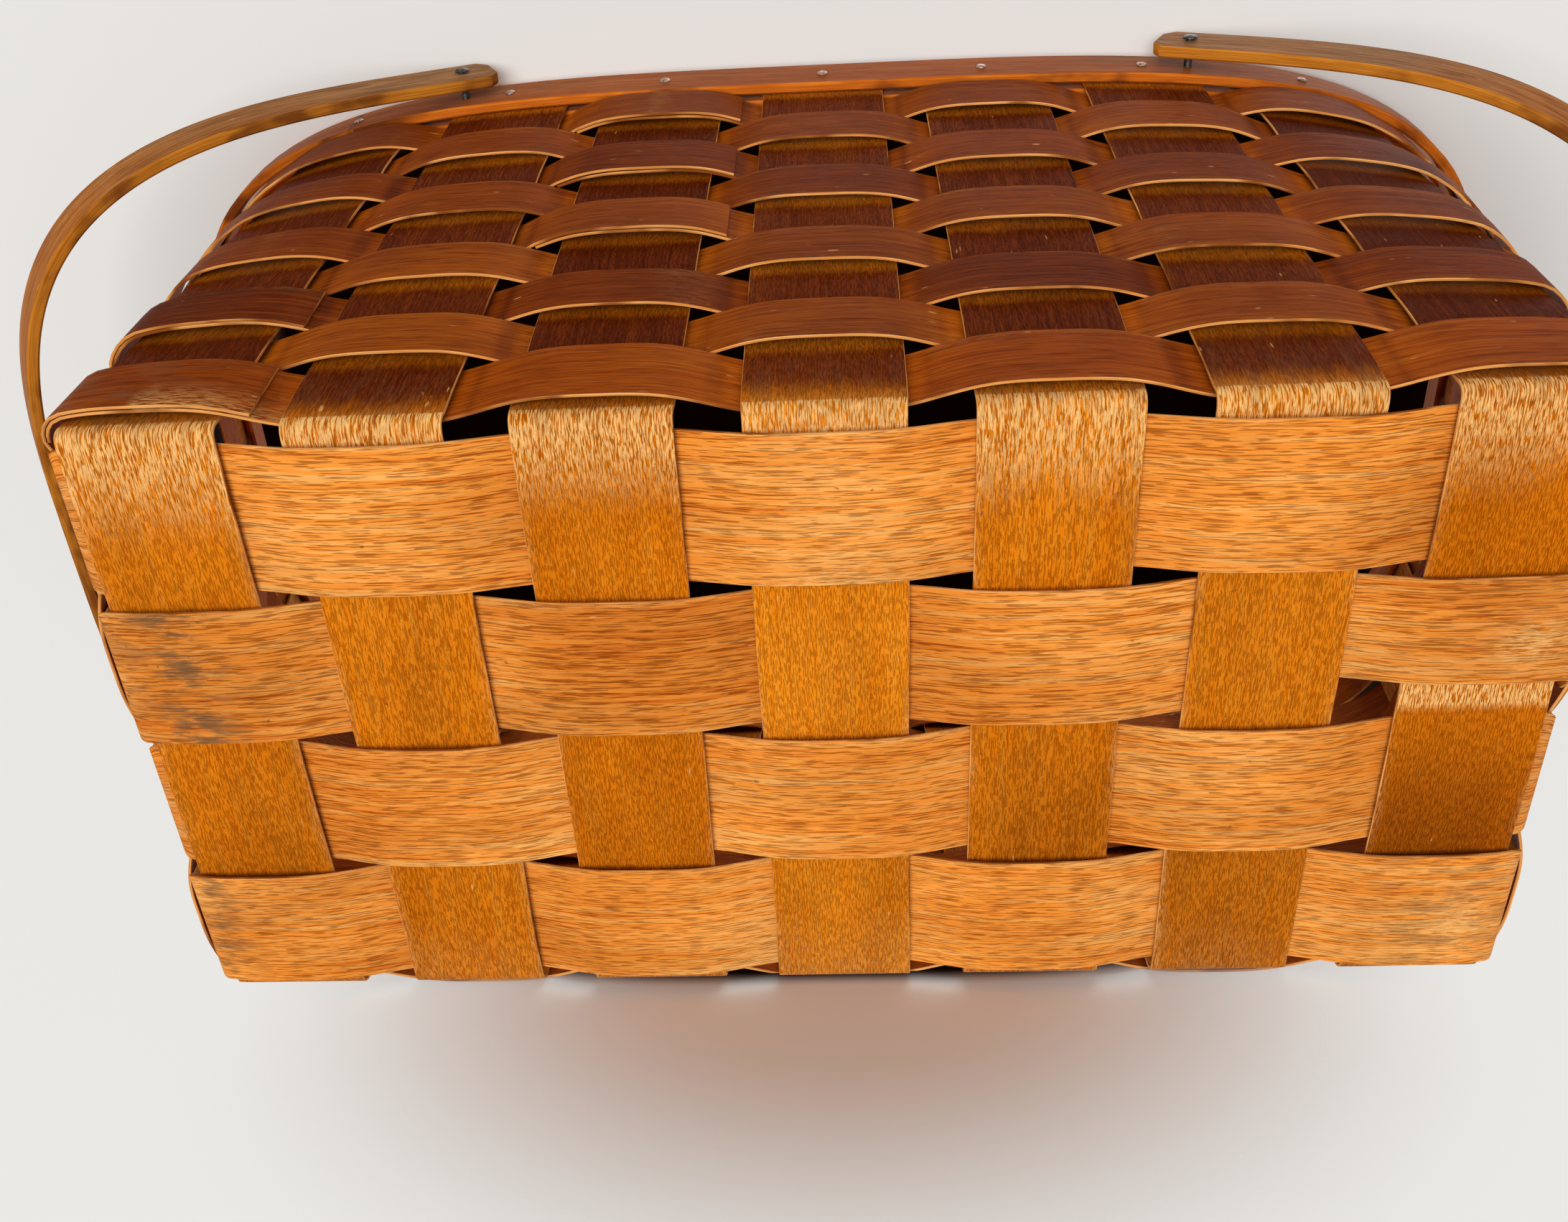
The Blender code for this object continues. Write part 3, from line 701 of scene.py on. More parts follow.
handle_face = splint(
    "handle_face",
    fresh=((0.60, 0.200, 0.022), (0.46, 0.130, 0.012), (0.26, 0.062, 0.007)),
    aged=((0.420, 0.210, 0.090), (0.300, 0.135, 0.052), (0.140, 0.058, 0.024)),
    pores=(50.0, 1100.0, 0.60, 0.50, 0.62), streaks=(6.0, 300.0), contrast=1.2,
)
splint_edge = cut_edge("splint_edge", (0.86, 0.42, 0.130), (0.64, 0.23, 0.045), (0.26, 0.07, 0.012))
band_edge = cut_edge("band_edge", (0.66, 0.175, 0.016), (0.48, 0.100, 0.008), (0.20, 0.045, 0.008))
handle_edge = cut_edge("handle_edge", (0.62, 0.230, 0.026), (0.46, 0.140, 0.011), (0.21, 0.060, 0.010))
nail_metal = metal("nail_metal", (0.42, 0.27, 0.20), (0.16, 0.09, 0.06))
rivet_metal = metal("rivet_metal", (0.09, 0.08, 0.075), (0.03, 0.024, 0.02))


def place_piece(piece, body, node):
    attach(piece, body)
    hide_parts(node)


def weaver_tone(row, places, stake, sign, share):
    """The lowest row is the palest, and what lies behind a stake has kept its first colour."""
    seed = row * SEEDS_PER_ROW
    distance = np.abs(places - stake)
    tucked = smooth(0.30, 0.43, distance) * (sign > 0)
    behind = smooth(0.47, 0.39, distance) * (sign < 0)
    old = WEAVER_AGE + WEAVER_AGE_RISE * smooth(-0.3, 2.0, row) - WEAVER_AGE_FALL * smooth(2.0, 5.0, row)
    old = old + ARCH_AGE_VARIATION * (wander(seed + 5, stake, 1.0) - 0.5)
    age = old - TUCKED_PALER * tucked - BEHIND_PALER * behind
    edges = hump(share, 0.0, 0.10) + hump(share, 1.0, 0.10)
    wear = WEAVER_EDGE_WEAR * edges * wander(seed + 6, places, 0.25)[:, None]
    rubs = smooth(0.90, 1.0, wander(row + WEAVER_RUB_SEED, places * 3 + 5, 1.0))
    wear = wear + WEAVER_RUB_WEAR * rubs[:, None]
    corner = hump(places % STAKE_COUNT, 0.0, 0.7) * (row == 0)
    wear = wear + CORNER_WEAR * (corner[:, None] * hump(share, 0.0, 0.3))
    dirt = CORNER_DIRT * hump((places + 0.5) % STAKE_COUNT, 0.2, 0.35) * (row == 0)
    return stacked(wear, dirt[:, None], age[:, None], random.Random(row).random())


def weaver(row):
    """A strip woven once round the walls, its end lapped over its start at one stake."""
    seed = row * SEEDS_PER_ROW
    low, high = row_span(row)
    lap = LAP_ROWS_AT[row % len(LAP_ROWS_AT)]
    lap += (lap + row) % 2
    end = lap + STAKE_COUNT + 0.5
    places = np.linspace(lap - 0.5, end, int((end - lap + 0.5) * STEPS_PER_STAKE) + 1)
    half_width = (high - low) / 2
    across = across_columns(half_width, SPLINT_BEVEL, ACROSS_STEPS)
    share = (across / half_width + 1) / 2
    bottom = low + EDGE_WANDER * wander(seed + 1, places, 0.9)
    top = high - EDGE_WANDER * wander(seed + 2, places, 0.8)
    z = bottom[:, None] + (top - bottom)[:, None] * share
    stake = np.floor(places + 0.5)
    sign = over(stake + row)
    height = 1 + ARCH_VARIATION * (wander(seed + 3, stake, 1.0) - ARCH_MIDDLE)
    clear_of_last = end - 1.5 + walls.half_share(lap - 1)
    rise = np.clip((places - clear_of_last) / (end - 1.0 - clear_of_last), 0.0, 1.0)
    offset = WEAVER_WAVE * sign * wave(places - stake) * height
    offset += rise * (STRIP_THICKNESS + FIT_GAP)
    lean = (wander(seed + 4, stake, 1.0) - 0.5)[:, None]
    roll = 1 + ARCH_ROLL * lean * (1 - 2 * share)
    middle = walls.points(places[:, None], z, offset[:, None] * roll)
    tone = weaver_tone(row, places, stake, sign, share)
    piece = strip(f"fine_weaver_{row + 1}", middle, across, STRIP_THICKNESS, SPLINT_BEVEL,
                  row + WEAVER_GRAIN_SEED, tone, (weaver_wood, splint_edge))
    place_piece(piece, "basket", f"weaver_{row + 1}")


def wall_rise(index, across_share, levels):
    """Middle points of a stake up a wall, pressed in a little by the weavers that cross it."""
    place = index + across_share * walls.half_share(index)
    press = np.zeros(len(levels))
    for row in range(WEAVER_COUNT):
        low, high = row_span(row)
        press -= over(index + row) * hump(levels, (low + high) / 2, WEAVER_WIDTH * PRESS_SPREAD)
    return walls.points(place, levels[:, None], PRESSED_IN * press[:, None])


def window_age_and_shade(index, z):
    """Darker where a stake is bare between two arches, partly dark varnish and partly painted shade of
    the arches, and yellower under the arch above.
    """
    age = np.full(z.shape, WINDOW_AGE)
    for row in range(WEAVER_COUNT):
        low, high = row_span(row)
        if (index + row) % 2:
            depth = (z - low) / (high - low)
            inside = smooth(-0.15, 0.05, depth) * smooth(1.12, 0.80, depth)
            # Partly varnish and partly painted shade of the arches
            age = np.maximum(age, WINDOW_AGE + WINDOW_VARNISH_AND_SHADE * inside)
    return age * smooth(0.0, WINDOW_FOOT, z)


def stake(kind, number, base_points, start_index, end_index, outward, columns, seed, tone_fn, wood):
    """A stake from the top of one wall, under the base and up the opposite wall."""
    across_share = columns / columns[-1]
    levels = np.append(np.linspace(FOOT_Z, RIM_BOTTOM, WALL_STEPS), HEIGHT - STAKE_TOP_DROP)
    end = wall_rise(end_index, across_share, levels)
    start = wall_rise(start_index, -across_share, levels)
    steps = np.linspace(0, 1, BEND_STEPS)[1:-1, None, None]

    def bend(last, first, direction):
        reach = ((first - last) @ direction)[:, None]
        corner = last + direction * reach
        return last * (1 - steps) ** 2 + corner * (2 * steps * (1 - steps)) + first * steps ** 2

    up = bend(base_points[-1], end[0], outward)
    down = bend(base_points[0], start[0], -outward)
    middle = np.concatenate([start[::-1], down[::-1], base_points, up, end])
    tone = tone_fn(middle, columns, start_index, end_index)
    piece = strip(f"fine_{kind}_{number + 1}", middle, columns, STRIP_THICKNESS, SPLINT_BEVEL,
                  seed, tone, (wood, splint_edge))
    place_piece(piece, "basket", f"{kind}_stake_{number + 1}")


def base_height(place, first_sign, amplitude):
    """Height of a stake in the base where it goes over and under the other set."""
    crossing = np.floor(place + 0.5)
    return BASE_MIDDLE_Z + first_sign * over(crossing) * amplitude * wave(place - crossing)


def crosswise_tone(number):
    """Rubbed pale at the front bend, partly wear and partly a painted highlight, and darker towards the
    back right of the base.
    """
    chance = random.Random(number + CROSSWISE_SEED)
    variation = chance.random()
    spread = 0.020 + 0.010 * chance.random()

    def tone(middle, columns, start_index, end_index):
        x, y, z = middle[..., 0], middle[..., 1], middle[..., 2]
        inwards = BASE_WIDTH / 2 - np.abs(y)
        on_base = z < FOOT_Z
        # The pale at the front bend and the wall's foot is partly rubbed wear and partly a painted
        # highlight; the back bend keeps a small share
        bend_wear_and_highlight = np.where(on_base, smooth(spread + 0.014, 0.002, inwards), 0.0)
        foot_wear_and_highlight = FOOT_WEAR_AND_HIGHLIGHT * smooth(0.013, 0.003, z) * (inwards < 0.004)
        front_wear_and_highlight_share = BACK_BEND_WEAR_AND_HIGHLIGHT_SHARE + (1 - BACK_BEND_WEAR_AND_HIGHLIGHT_SHARE) * smooth(0.02, -0.02, y)
        wear = np.maximum(bend_wear_and_highlight, foot_wear_and_highlight) * front_wear_and_highlight_share
        at_side = smooth(0.88, 1.0, np.abs(columns) / (CROSSWISE_WIDTH / 2))
        uneven = wander(number + CROSSWISE_SIDE_SEED, y * 40, 0.7)
        wear = wear + CROSSWISE_SIDE_WEAR * at_side * on_base * uneven
        if number == CROSSWISE_COUNT - 1:
            gap = walls.along[NARROWED_STAKE] + LENGTHWISE_WIDTH / 2
            bared = smooth(gap - 0.016, gap - 0.013, y) * smooth(gap, gap - 0.003, y)
            wear = wear + BARED_WEAR * on_base * bared
        age = np.where(y < 0, window_age_and_shade(start_index, z), window_age_and_shade(end_index, z))
        # Darker towards the back right of the base
        right = BACK_DARKENING + BACK_RIGHT_DARKENING * smooth(0.0, 0.12, x)
        age = age + CROSSWISE_AGE_VARIATION * variation + smooth(-0.01, 0.05, y) * right * on_base
        dirt = CROSSWISE_DIRT * hump(inwards, 0.0, 0.004)
        return stacked(wear, dirt, age, variation)

    return tone


def lengthwise_tone(number):
    """Pale on the base, rubbed at both ends and sides, with the photograph's worst stains."""
    def tone(middle, columns, start_index, end_index):
        x, z = middle[..., 0], middle[..., 2]
        inwards = BASE_LENGTH / 2 - np.abs(x)
        on_base = z < FOOT_Z
        side = columns / (LENGTHWISE_WIDTH / 2)
        uneven_end = wander(number + LENGTHWISE_END_SEED, side * 3, 0.5)
        uneven_side = wander(number + LENGTHWISE_SIDE_SEED, x * 30, 0.6)
        wear = LENGTHWISE_END_WEAR * hump(inwards, 0.0, 0.008) * uneven_end
        wear = wear + LENGTHWISE_SIDE_WEAR * smooth(0.90, 1.0, np.abs(side)) * uneven_side * on_base
        dirt = LENGTHWISE_DIRT * hump(inwards, 0.006, 0.012)
        if number in (1, 3):
            wear = wear + RIGHT_RUB_WEAR * hump(x, 0.212, 0.010) * hump(side, 0.2, 0.5) * on_base
        # Pale in the middle of the front strip, partly rubbed wear and partly a painted highlight
        if number == 0:
            wear = wear + CENTRE_WEAR_AND_HIGHLIGHT * hump(x, 0.0, 0.022) * on_base
        if number == 1:
            dirt = dirt + LEFT_STAIN * hump(x, -0.205, 0.012) * on_base
        if number == 3:
            dirt = dirt + BACK_STAIN * hump(x, 0.200, 0.018) * on_base
            dirt = dirt + BACK_STAIN * hump(x, -0.222, 0.010) * on_base
        tile = wander(number + LENGTHWISE_TILE_SEED, x / CROSSWISE_PITCH + 20, 1.0)
        on_walls = np.where(x < 0, window_age_and_shade(start_index, z), window_age_and_shade(end_index, z))
        age = np.where(on_base, LENGTHWISE_AGE + TILE_AGE_VARIATION * tile, on_walls)
        return stacked(wear, dirt, age, tile)

    return tone


def crosswise_stake(number):
    """It runs from the front wall to the back one, nearly flat in the base."""
    x = walls.across[number]
    edge = LENGTHWISE_WIDTH / 2 / LENGTHWISE_PITCH + 0.01
    places = np.linspace(-edge, LENGTHWISE_COUNT - 1 + edge, CROSSWISE_STEPS)
    columns = across_columns(CROSSWISE_WIDTH / 2, SPLINT_BEVEL, 2 * ACROSS_STEPS)
    y = walls.along[0] + places * LENGTHWISE_PITCH
    z = base_height(places, -over(number), CROSSWISE_WAVE)
    narrow = 1 - STAKE_WANDER / (CROSSWISE_WIDTH / 2) * wander(number + NARROW_SEED, places, 0.8)
    base = stacked(x - columns * narrow[:, None], y[:, None], z[:, None])
    front, back = number, 2 * CROSSWISE_COUNT + LENGTHWISE_COUNT - 1 - number
    stake("crosswise", number, base, front, back, np.array((0.0, 1.0, 0.0)), columns,
          number + CROSSWISE_GRAIN_SEED, crosswise_tone(number), crosswise_wood)


def lengthwise_stake(number):
    """It runs from the left end to the right one, over and under the crosswise stakes."""
    edge = CROSSWISE_WIDTH / 2 / CROSSWISE_PITCH
    places = np.linspace(-edge, CROSSWISE_COUNT - 1 + edge, LENGTHWISE_STEPS)
    columns = across_columns(LENGTHWISE_WIDTH / 2, SPLINT_BEVEL, 2 * ACROSS_STEPS)
    x = walls.across[0] + places * CROSSWISE_PITCH
    z = base_height(places, over(number), BASE_WAVE)
    trim_low = STAKE_WANDER * 2 * wander(number + TRIM_LOW_SEED, places, 1.3)
    trim_high = STAKE_WANDER * 2 * wander(number + TRIM_HIGH_SEED, places, 1.1)
    if number == NARROWED_STAKE:
        trim_high = trim_high + NARROWED_BY * smooth(*NARROWED_PLACES, places)
    half = LENGTHWISE_WIDTH / 2
    share = (columns / half + 1) / 2
    low, high = -half + trim_low, half - trim_high
    y = walls.along[number] + low[:, None] + (high - low)[:, None] * share
    base = stacked(x[:, None], y, z[:, None])
    right = CROSSWISE_COUNT + number
    left = STAKE_COUNT - 1 - number
    stake("lengthwise", number, base, left, right, np.array((1.0, 0.0, 0.0)), columns,
          number + LENGTHWISE_GRAIN_SEED, lengthwise_tone(number), lengthwise_wood)


def rim_band(node, inside, outside, seed):
    """A closed bent band, greyed beside the handles' legs."""
    places = np.linspace(0, STAKE_COUNT, STAKE_COUNT * STEPS_PER_STAKE, endpoint=False)
    across = across_columns(RIM_HEIGHT / 2, BAND_BEVEL, RIM_ACROSS_STEPS)
    z = RIM_BOTTOM + RIM_HEIGHT / 2 + across
    middle = walls.points(places[:, None], z, (inside + outside) / 2)
    share = across / (RIM_HEIGHT / 2)
    front_middle = (CROSSWISE_COUNT - 1) / 2
    near_handle = np.zeros(len(places))
    for wall in (front_middle, front_middle + STAKE_COUNT / 2):
        for turn in (-1, 1):
            near_handle += hump(places, wall + turn * PIVOT_STAKE_COUNT, 0.55)
    age = RIM_AGE + RIM_AGE_VARIATION * (wander(seed, places, 1.2) - 0.5)[:, None]
    wear = RIM_WEAR * wander(seed + 1, places, 0.3)[:, None] * hump(share, 1.0, 0.3)
    dirt = RIM_DIRT * near_handle[:, None] * smooth(-1.0, 0.6, share)
    tone = stacked(wear, dirt, age, BAND_VARIATION)
    piece = strip("fine_" + node, middle, across, outside - inside, BAND_BEVEL, seed, tone,
                  (rim_face, band_edge), closed=True)
    place_piece(piece, "basket", node)


def rim_reach(x):
    """How far out the rim's middle surface runs at the top, beside a given x."""
    return -walls.rim.at(walls.rim.length_at_x(x))[1]


HANDLE_LEAN = HANDLE_WIDTH / 2 * math.sin(HANDLE_TILT)
HANDLE_INSIDE = rim_reach(PIVOT_X - HANDLE_TAIL) + OUTER_RIM_OUTSIDE + HANDLE_CLEARANCE
HALF_SPAN = HANDLE_INSIDE + HANDLE_LEAN / 2 + HANDLE_THICKNESS


def handle(side, side_name, seed):
    """A flat strip bent into a U, drawn in its own plane and then swung down about its pivots."""
    tail = [(-HANDLE_TAIL * (1 - n / TAIL_STEPS), -1.0) for n in range(TAIL_STEPS)]
    line = list(tail)
    for n in range(BOW_STEPS + 1):
        angle = -math.pi / 2 + math.pi * n / BOW_STEPS
        bow = abs(math.cos(angle)) ** (2 / HANDLE_ROUNDNESS) if 0 < n < BOW_STEPS else 0.0
        swing = math.copysign(abs(math.sin(angle)) ** (2 / HANDLE_ROUNDNESS), math.sin(angle))
        line.append((HANDLE_REACH * bow, swing))
    line += [(reach, 1.0) for reach, _ in reversed(tail)]
    spots = np.array([(reach, share * HALF_SPAN) for reach, share in line])
    tangent = np.gradient(spots, axis=0)
    tangent /= np.linalg.norm(tangent, axis=1, keepdims=True)
    outward = np.stack([tangent[:, 1], -tangent[:, 0]], -1)
    tilt = HANDLE_TILT * np.abs(outward[:, 1])
    face = np.column_stack([outward * np.cos(tilt)[:, None], -np.sin(tilt)])
    rise = np.column_stack([outward * np.sin(tilt)[:, None], np.cos(tilt)])
    count = np.arange(len(line))
    from_end = np.minimum(count, count[::-1]) * HANDLE_TAIL / TAIL_STEPS
    left = np.clip(1 - from_end / HANDLE_END_CLIP, 0.0, 1.0)
    width = HANDLE_WIDTH / 2 - HANDLE_END_CLIP * left
    across = across_columns(1.0, BAND_BEVEL * 2 / HANDLE_WIDTH, HANDLE_ACROSS_STEPS)
    centre = np.column_stack([spots, np.zeros(len(spots))]) - face * HANDLE_THICKNESS / 2
    middle = centre[:, None] + rise[:, None] * (across * width[:, None])[..., None]
    middle[..., 0] *= side
    turn = np.array(Matrix.Rotation(side * HANDLE_DROP, 3, "Y"))
    middle = middle @ turn.T + np.array((side * PIVOT_X, 0.0, NAIL_Z))
    along = np.linspace(-1, 1, len(line))
    legs = smooth(0.35, 0.85, np.abs(along))
    age = BOW_AGE + LEG_OLDER * legs + HANDLE_AGE_VARIATION * (wander(seed, along * 20, 1.0) - 0.5)
    wear = HANDLE_WEAR * wander(seed + 1, along * 34, 1.0) * (1 - 0.5 * legs)
    dirt = HANDLE_END_DIRT * smooth(0.86, 1.0, np.abs(along))
    tone = np.repeat(stacked(wear, dirt, age, BAND_VARIATION)[:, None], len(across), axis=1)
    node = "handle_" + side_name
    piece = strip("fine_" + node, middle, across * HANDLE_WIDTH / 2, HANDLE_THICKNESS, BAND_BEVEL,
                  seed, tone, (handle_face, handle_edge))
    place_piece(piece, side_name + "_handle", node)


def turned(name, profile, origin, axis, material):
    """A round body about an axis; the profile is a list of (distance, radius), closed at both ends."""
    across = axis.cross(Vector((0, 0, 1))).normalized()
    upward = axis.cross(across)
    points, quads = [], []
    for distance, radius in profile:
        for n in range(ROUND_SIDES):
            angle = 2 * math.pi * n / ROUND_SIDES
            spoke = across * (radius * math.cos(angle)) + upward * (radius * math.sin(angle))
            points.append(origin + axis * distance + spoke)
    for ring in range(len(profile) - 1):
        for n in range(ROUND_SIDES):
            m = (n + 1) % ROUND_SIDES
            near, far = ring * ROUND_SIDES, (ring + 1) * ROUND_SIDES
            quads.append((near + n, near + m, far + m, far + n))
    quads.append(tuple(range(ROUND_SIDES)))
    last = (len(profile) - 1) * ROUND_SIDES
    quads.append(tuple(range(last, last + ROUND_SIDES)))
    mesh = bpy.data.meshes.new(name)
    mesh.from_pydata(points, [], quads)
    mesh.materials.append(material)
    return finished(name, mesh)


def domed(seat, radius, height):
    """The profile of a low domed head that sits at a distance along its axis."""
    dome = [(seat, radius * 0.97), (seat + height * 0.18, radius)]
    for n in range(1, DOME_STEPS):
        angle = math.pi / 2 * n / DOME_STEPS
        dome.append((seat + height * (0.18 + 0.82 * math.sin(angle)), radius * math.cos(angle)))
    dome.append((seat + height, radius * 0.08))
    return dome


def nail(index):
    """A nail through both bands at the middle of a stake, square to the leaning wall."""
    def at(place, z):
        return Vector(walls.points(place, z, 0.0))

    along = at(index + TANGENT_STEP, NAIL_Z) - at(index - TANGENT_STEP, NAIL_Z)
    outward = along.cross(at(index, HEIGHT) - at(index, RIM_BOTTOM)).normalized()
    seat = OUTER_RIM_OUTSIDE + FIT_GAP * 0.3
    profile = [(INNER_RIM_INSIDE - NAIL_END, NAIL_SHANK_RADIUS), (seat, NAIL_SHANK_RADIUS)]
    profile += domed(seat, NAIL_HEAD_RADIUS, NAIL_HEAD_HEIGHT)
    piece = turned(f"fine_nail_{index + 1}", profile, at(index, NAIL_Z), outward, nail_metal)
    place_piece(piece, "basket", f"rim_nail_{index + 1}")


def rivet(side, side_name, facing, face_name):
    """The pivot of one leg of a handle, clinched inside the basket."""
    lowest = RIM_HEIGHT * (RIM_WIDTH - BASE_WIDTH) / 2 / HEIGHT
    inside = rim_reach(PIVOT_X) + INNER_RIM_INSIDE - lowest - FIT_GAP
    seat = HALF_SPAN + FIT_GAP + HANDLE_LEAN * RIVET_HEAD_RADIUS / HANDLE_WIDTH * 2
    profile = [
        (inside - RIVET_HEAD_HEIGHT / 2, RIVET_HEAD_RADIUS * 0.2),
        (inside - RIVET_HEAD_HEIGHT * 0.4, RIVET_HEAD_RADIUS * 0.7),
        (inside, RIVET_HEAD_RADIUS * 0.9),
        (inside, RIVET_SHANK_RADIUS),
        (seat, RIVET_SHANK_RADIUS),
    ]
    profile += domed(seat, RIVET_HEAD_RADIUS, RIVET_HEAD_HEIGHT)
    origin = Vector((side * PIVOT_X, 0.0, NAIL_Z))
    name = f"rivet_{side_name}_{face_name}"
    piece = turned("fine_" + name, profile, origin, Vector((0.0, facing, 0.0)), rivet_metal)
    place_piece(piece, "basket", "pivot_" + name)


def build_basket():
    for number in range(CROSSWISE_COUNT):
        crosswise_stake(number)
    for number in range(LENGTHWISE_COUNT):
        lengthwise_stake(number)
    for row in range(WEAVER_COUNT):
        weaver(row)
    rim_band("outer_rim", OUTER_RIM_INSIDE, OUTER_RIM_OUTSIDE, seed=31)
    rim_band("inner_rim", INNER_RIM_INSIDE, INNER_RIM_OUTSIDE, seed=32)
    handle(-1, "left", seed=33)
    handle(1, "right", seed=34)
    for index in range(STAKE_COUNT):
        nail(index)
    for side, side_name in ((-1, "left"), (1, "right")):
        for facing, face_name in ((-1, "front"), (1, "back")):
            rivet(side, side_name, facing, face_name)


FLOOR_COLOUR = (0.72, 0.715, 0.70)
BACKGROUND = (0.83, 0.83, 0.82)
# Painted shade: its dark colour, and the soft edge of the oblongs that carry it
PAINTED_SHADE_COLOUR = (0.012, 0.008, 0.006)
PAINTED_SHADE_EDGE = (0.85, 1.0)
STAGE_REACH = 2.0
LEVEL_AXES = (1.0, 1.0, 0.0)
FLOOR_BELOW = 0.0005
FLOOR_FADE = (0.6, 1.6)
BOARD_Z = 0.2525
BOARD_FADE = (1.0, 1.9)
# Oblongs of painted shade on the board, in the mouth and in the corner behind the basket
MOUTH_SHADE_HALF = (0.272, 0.150)
CORNER_SHADE_HALF = (0.380, 0.145)
CORNER_SHADE_Y = 0.088
LYING_FLOOR_LOW = -1.2
LYING_FADE = (0.2, 1.0)
LYING_FADE_AXES = (4.2, 0.0, 5.5)
# Oblong of painted shade on the lying floor, behind the back wall
LYING_SHADE_HALF = (0.170, 0.121)
LYING_SHADE_Z = 0.121


def stage_material(name, fade, axes, painted_shades=()):
    """The pale paint of the surroundings, seen from its front only, that fades out far away.

    Each of the painted shades is the middle and the axes of a rounded oblong that is painted dark as
    shade, where the basket rests on the surface or stands in the corner beside it.
    """
    n = Nodes(bpy.data.materials.new(name))
    geometry = n.add("NewGeometry")
    diffuse = n.add("BsdfDiffuse", {"Color": FLOOR_COLOUR})
    place = geometry.outputs["Position"]
    hidden = n.between(n.vector("LENGTH", n.stretch(place, axes)), *fade)
    outside = 1.0
    for middle, shade_axes in painted_shades:
        near = n.stretch(n.vector("SUBTRACT", place, middle), shade_axes)
        squared = n.vector("MULTIPLY", near, near)
        edge = n.between(n.vector("LENGTH", squared), *PAINTED_SHADE_EDGE)
        outside = n.math("MULTIPLY", edge, outside)
    if painted_shades:
        # The dark inside the oblongs is painted shade
        n.fill(diffuse, {"Color": n.mix(outside, PAINTED_SHADE_COLOUR, FLOOR_COLOUR)})
        hidden = n.math("MULTIPLY", hidden, outside)
    hidden = n.math("MAXIMUM", hidden, geometry.outputs["Backfacing"])
    n.surface(hidden, diffuse, n.add("BsdfTransparent"), "Material Output")
    n.tree.nodes.remove(n.tree.nodes["Principled BSDF"])
    return n.owner


def stage_plane(name, corners, material):
    """A surface that only the camera sees, so it takes no light away from the basket."""
    mesh = bpy.data.meshes.new(name)
    mesh.from_pydata(corners, [], [(0, 1, 2, 3)])
    mesh.materials.append(material)
    plane = new_object(name, mesh)
    for ray in ("shadow", "diffuse", "glossy", "transmission"):
        setattr(plane, "visible_" + ray, False)


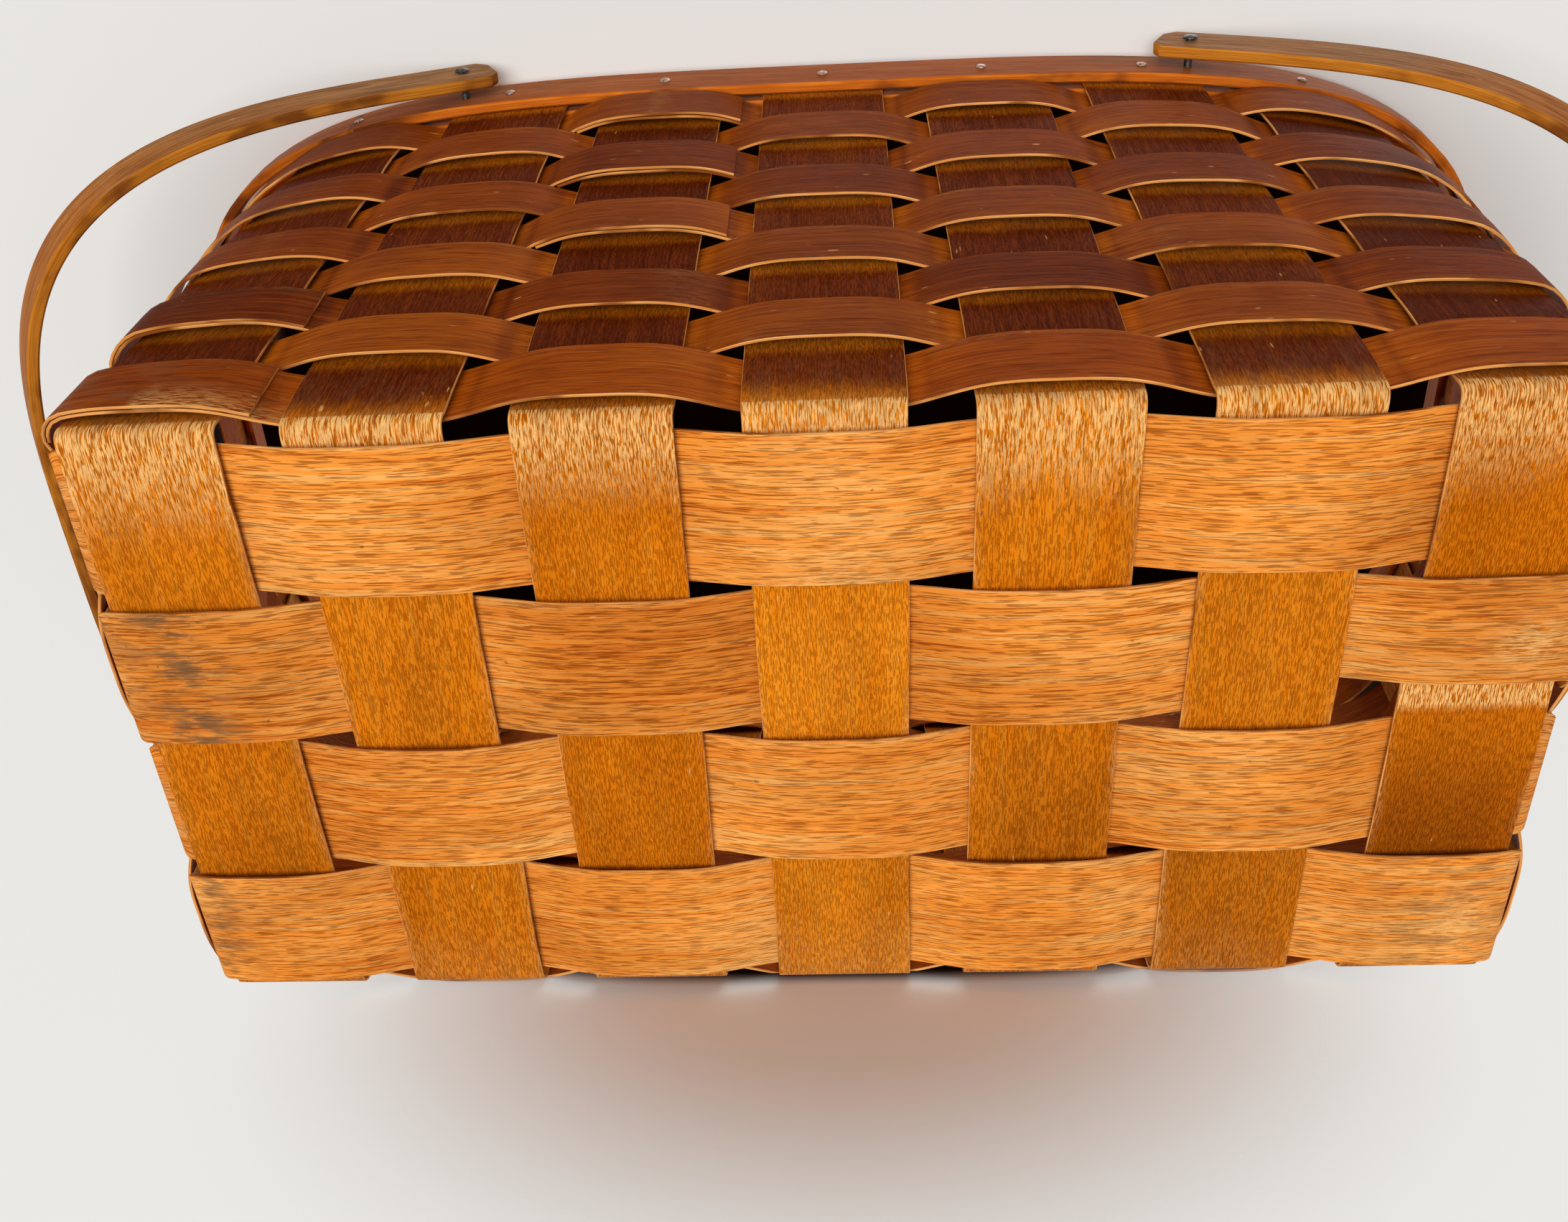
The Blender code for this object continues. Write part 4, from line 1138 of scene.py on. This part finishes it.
def build_stage():
    """A floor under the standing basket, and what the photograph has around the lying one.

    There it lies with its back wall on a floor and its mouth against a board; both carry painted shade
    where the basket rests and in the corner beside it.
    """
    square = [(x * STAGE_REACH, y * STAGE_REACH) for x, y in ((-1, -1), (1, -1), (1, 1), (-1, 1))]
    floor = [(x, y, -FLOOR_BELOW) for x, y in square]
    stage_plane("floor", floor, stage_material("floor_paint", FLOOR_FADE, LEVEL_AXES))
    board = [(x, y, BOARD_Z) for x, y in reversed(square)]
    # Painted shade on the board, inside the mouth and in the corner behind the back wall
    board_painted_shades = []
    for y, (half_x, half_y) in ((0.0, MOUTH_SHADE_HALF), (CORNER_SHADE_Y, CORNER_SHADE_HALF)):
        board_painted_shades.append(((0.0, y, 0.0), (1 / half_x, 1 / half_y, 0.0)))
    stage_plane("board", board, stage_material("board_paint_and_shade", BOARD_FADE, LEVEL_AXES, board_painted_shades))
    touch_low = BASE_WIDTH / 2 + STRIP_THICKNESS
    slope = (HALF_SPAN + RIVET_HEAD_HEIGHT - touch_low) / NAIL_Z
    levels = (LYING_FLOOR_LOW, LYING_FLOOR_LOW, BOARD_Z, BOARD_Z)
    lying_floor = [
        (x * STAGE_REACH, touch_low + slope * z, z) for x, z in zip((-1, 1, 1, -1), levels)
    ]
    # Painted shade on the lying floor, behind the back wall
    half_x, half_z = LYING_SHADE_HALF
    lying_painted_shade = ((0.0, 0.0, LYING_SHADE_Z), (1 / half_x, 0.0, 1 / half_z))
    lying_paint_and_shade = stage_material("lying_floor_paint_and_shade", LYING_FADE, LYING_FADE_AXES, [lying_painted_shade])
    stage_plane("lying_floor", lying_floor, lying_paint_and_shade)


AMBIENT_COLOUR = (1.0, 0.98, 0.95)
AMBIENT_STRENGTH = 0.42


def sun(name, direction, strength, softness):
    """A soft sun that shines along a direction; softness is its width in degrees."""
    lamp = bpy.data.lights.new(name, "SUN")
    lamp.energy = strength
    lamp.angle = math.radians(softness)
    holder = new_object(name, lamp)
    holder.rotation_mode = "QUATERNION"
    holder.rotation_quaternion = Vector(direction).to_track_quat("-Z", "Y")


def build_light():
    """Soft daylight, most of it from below on the base, and a pale background to look at."""
    sun("key_light", (0.18, 0.30, 0.94), 2.45, 45)
    sun("top_light", (-0.25, 0.45, -0.85), 1.1, 50)
    sun("back_light", (-0.30, -0.75, -0.35), 1.1, 70)
    world = bpy.data.worlds.new("studio")
    bpy.context.scene.world = world
    n = Nodes(world)
    surroundings = n.tree.nodes["Background"]
    n.fill(surroundings, {"Color": AMBIENT_COLOUR, "Strength": AMBIENT_STRENGTH})
    seen = n.add("Background", {"Color": BACKGROUND})
    ray = n.add("LightPath").outputs
    looked_at = n.math("MAXIMUM", ray["Is Camera Ray"], ray["Is Glossy Ray"])
    looked_at = n.math("MAXIMUM", looked_at, ray["Is Transmission Ray"])
    n.surface(looked_at, surroundings, seen, "World Output")


def build_camera():
    """The photograph's camera, as fitted to the edges of the stakes."""
    camera = bpy.data.cameras.new("photograph_camera")
    camera.sensor_width = CAMERA_SENSOR
    camera.lens = camera.sensor_width * FOCAL_PIXELS / IMAGE_WIDTH
    camera.clip_start = CAMERA_CLIP_START
    holder = new_object("photograph_camera", camera)
    right, up = Vector(CAMERA_RIGHT), Vector(CAMERA_UP)
    turn = Matrix((right, up, right.cross(up))).transposed()
    holder.matrix_world = Matrix.Translation(CAMERA_PLACE) @ turn.to_4x4()
    bpy.context.scene.camera = holder


build_basket()
build_stage()
build_light()
build_camera()
bpy.context.scene.view_settings.view_transform = "Standard"
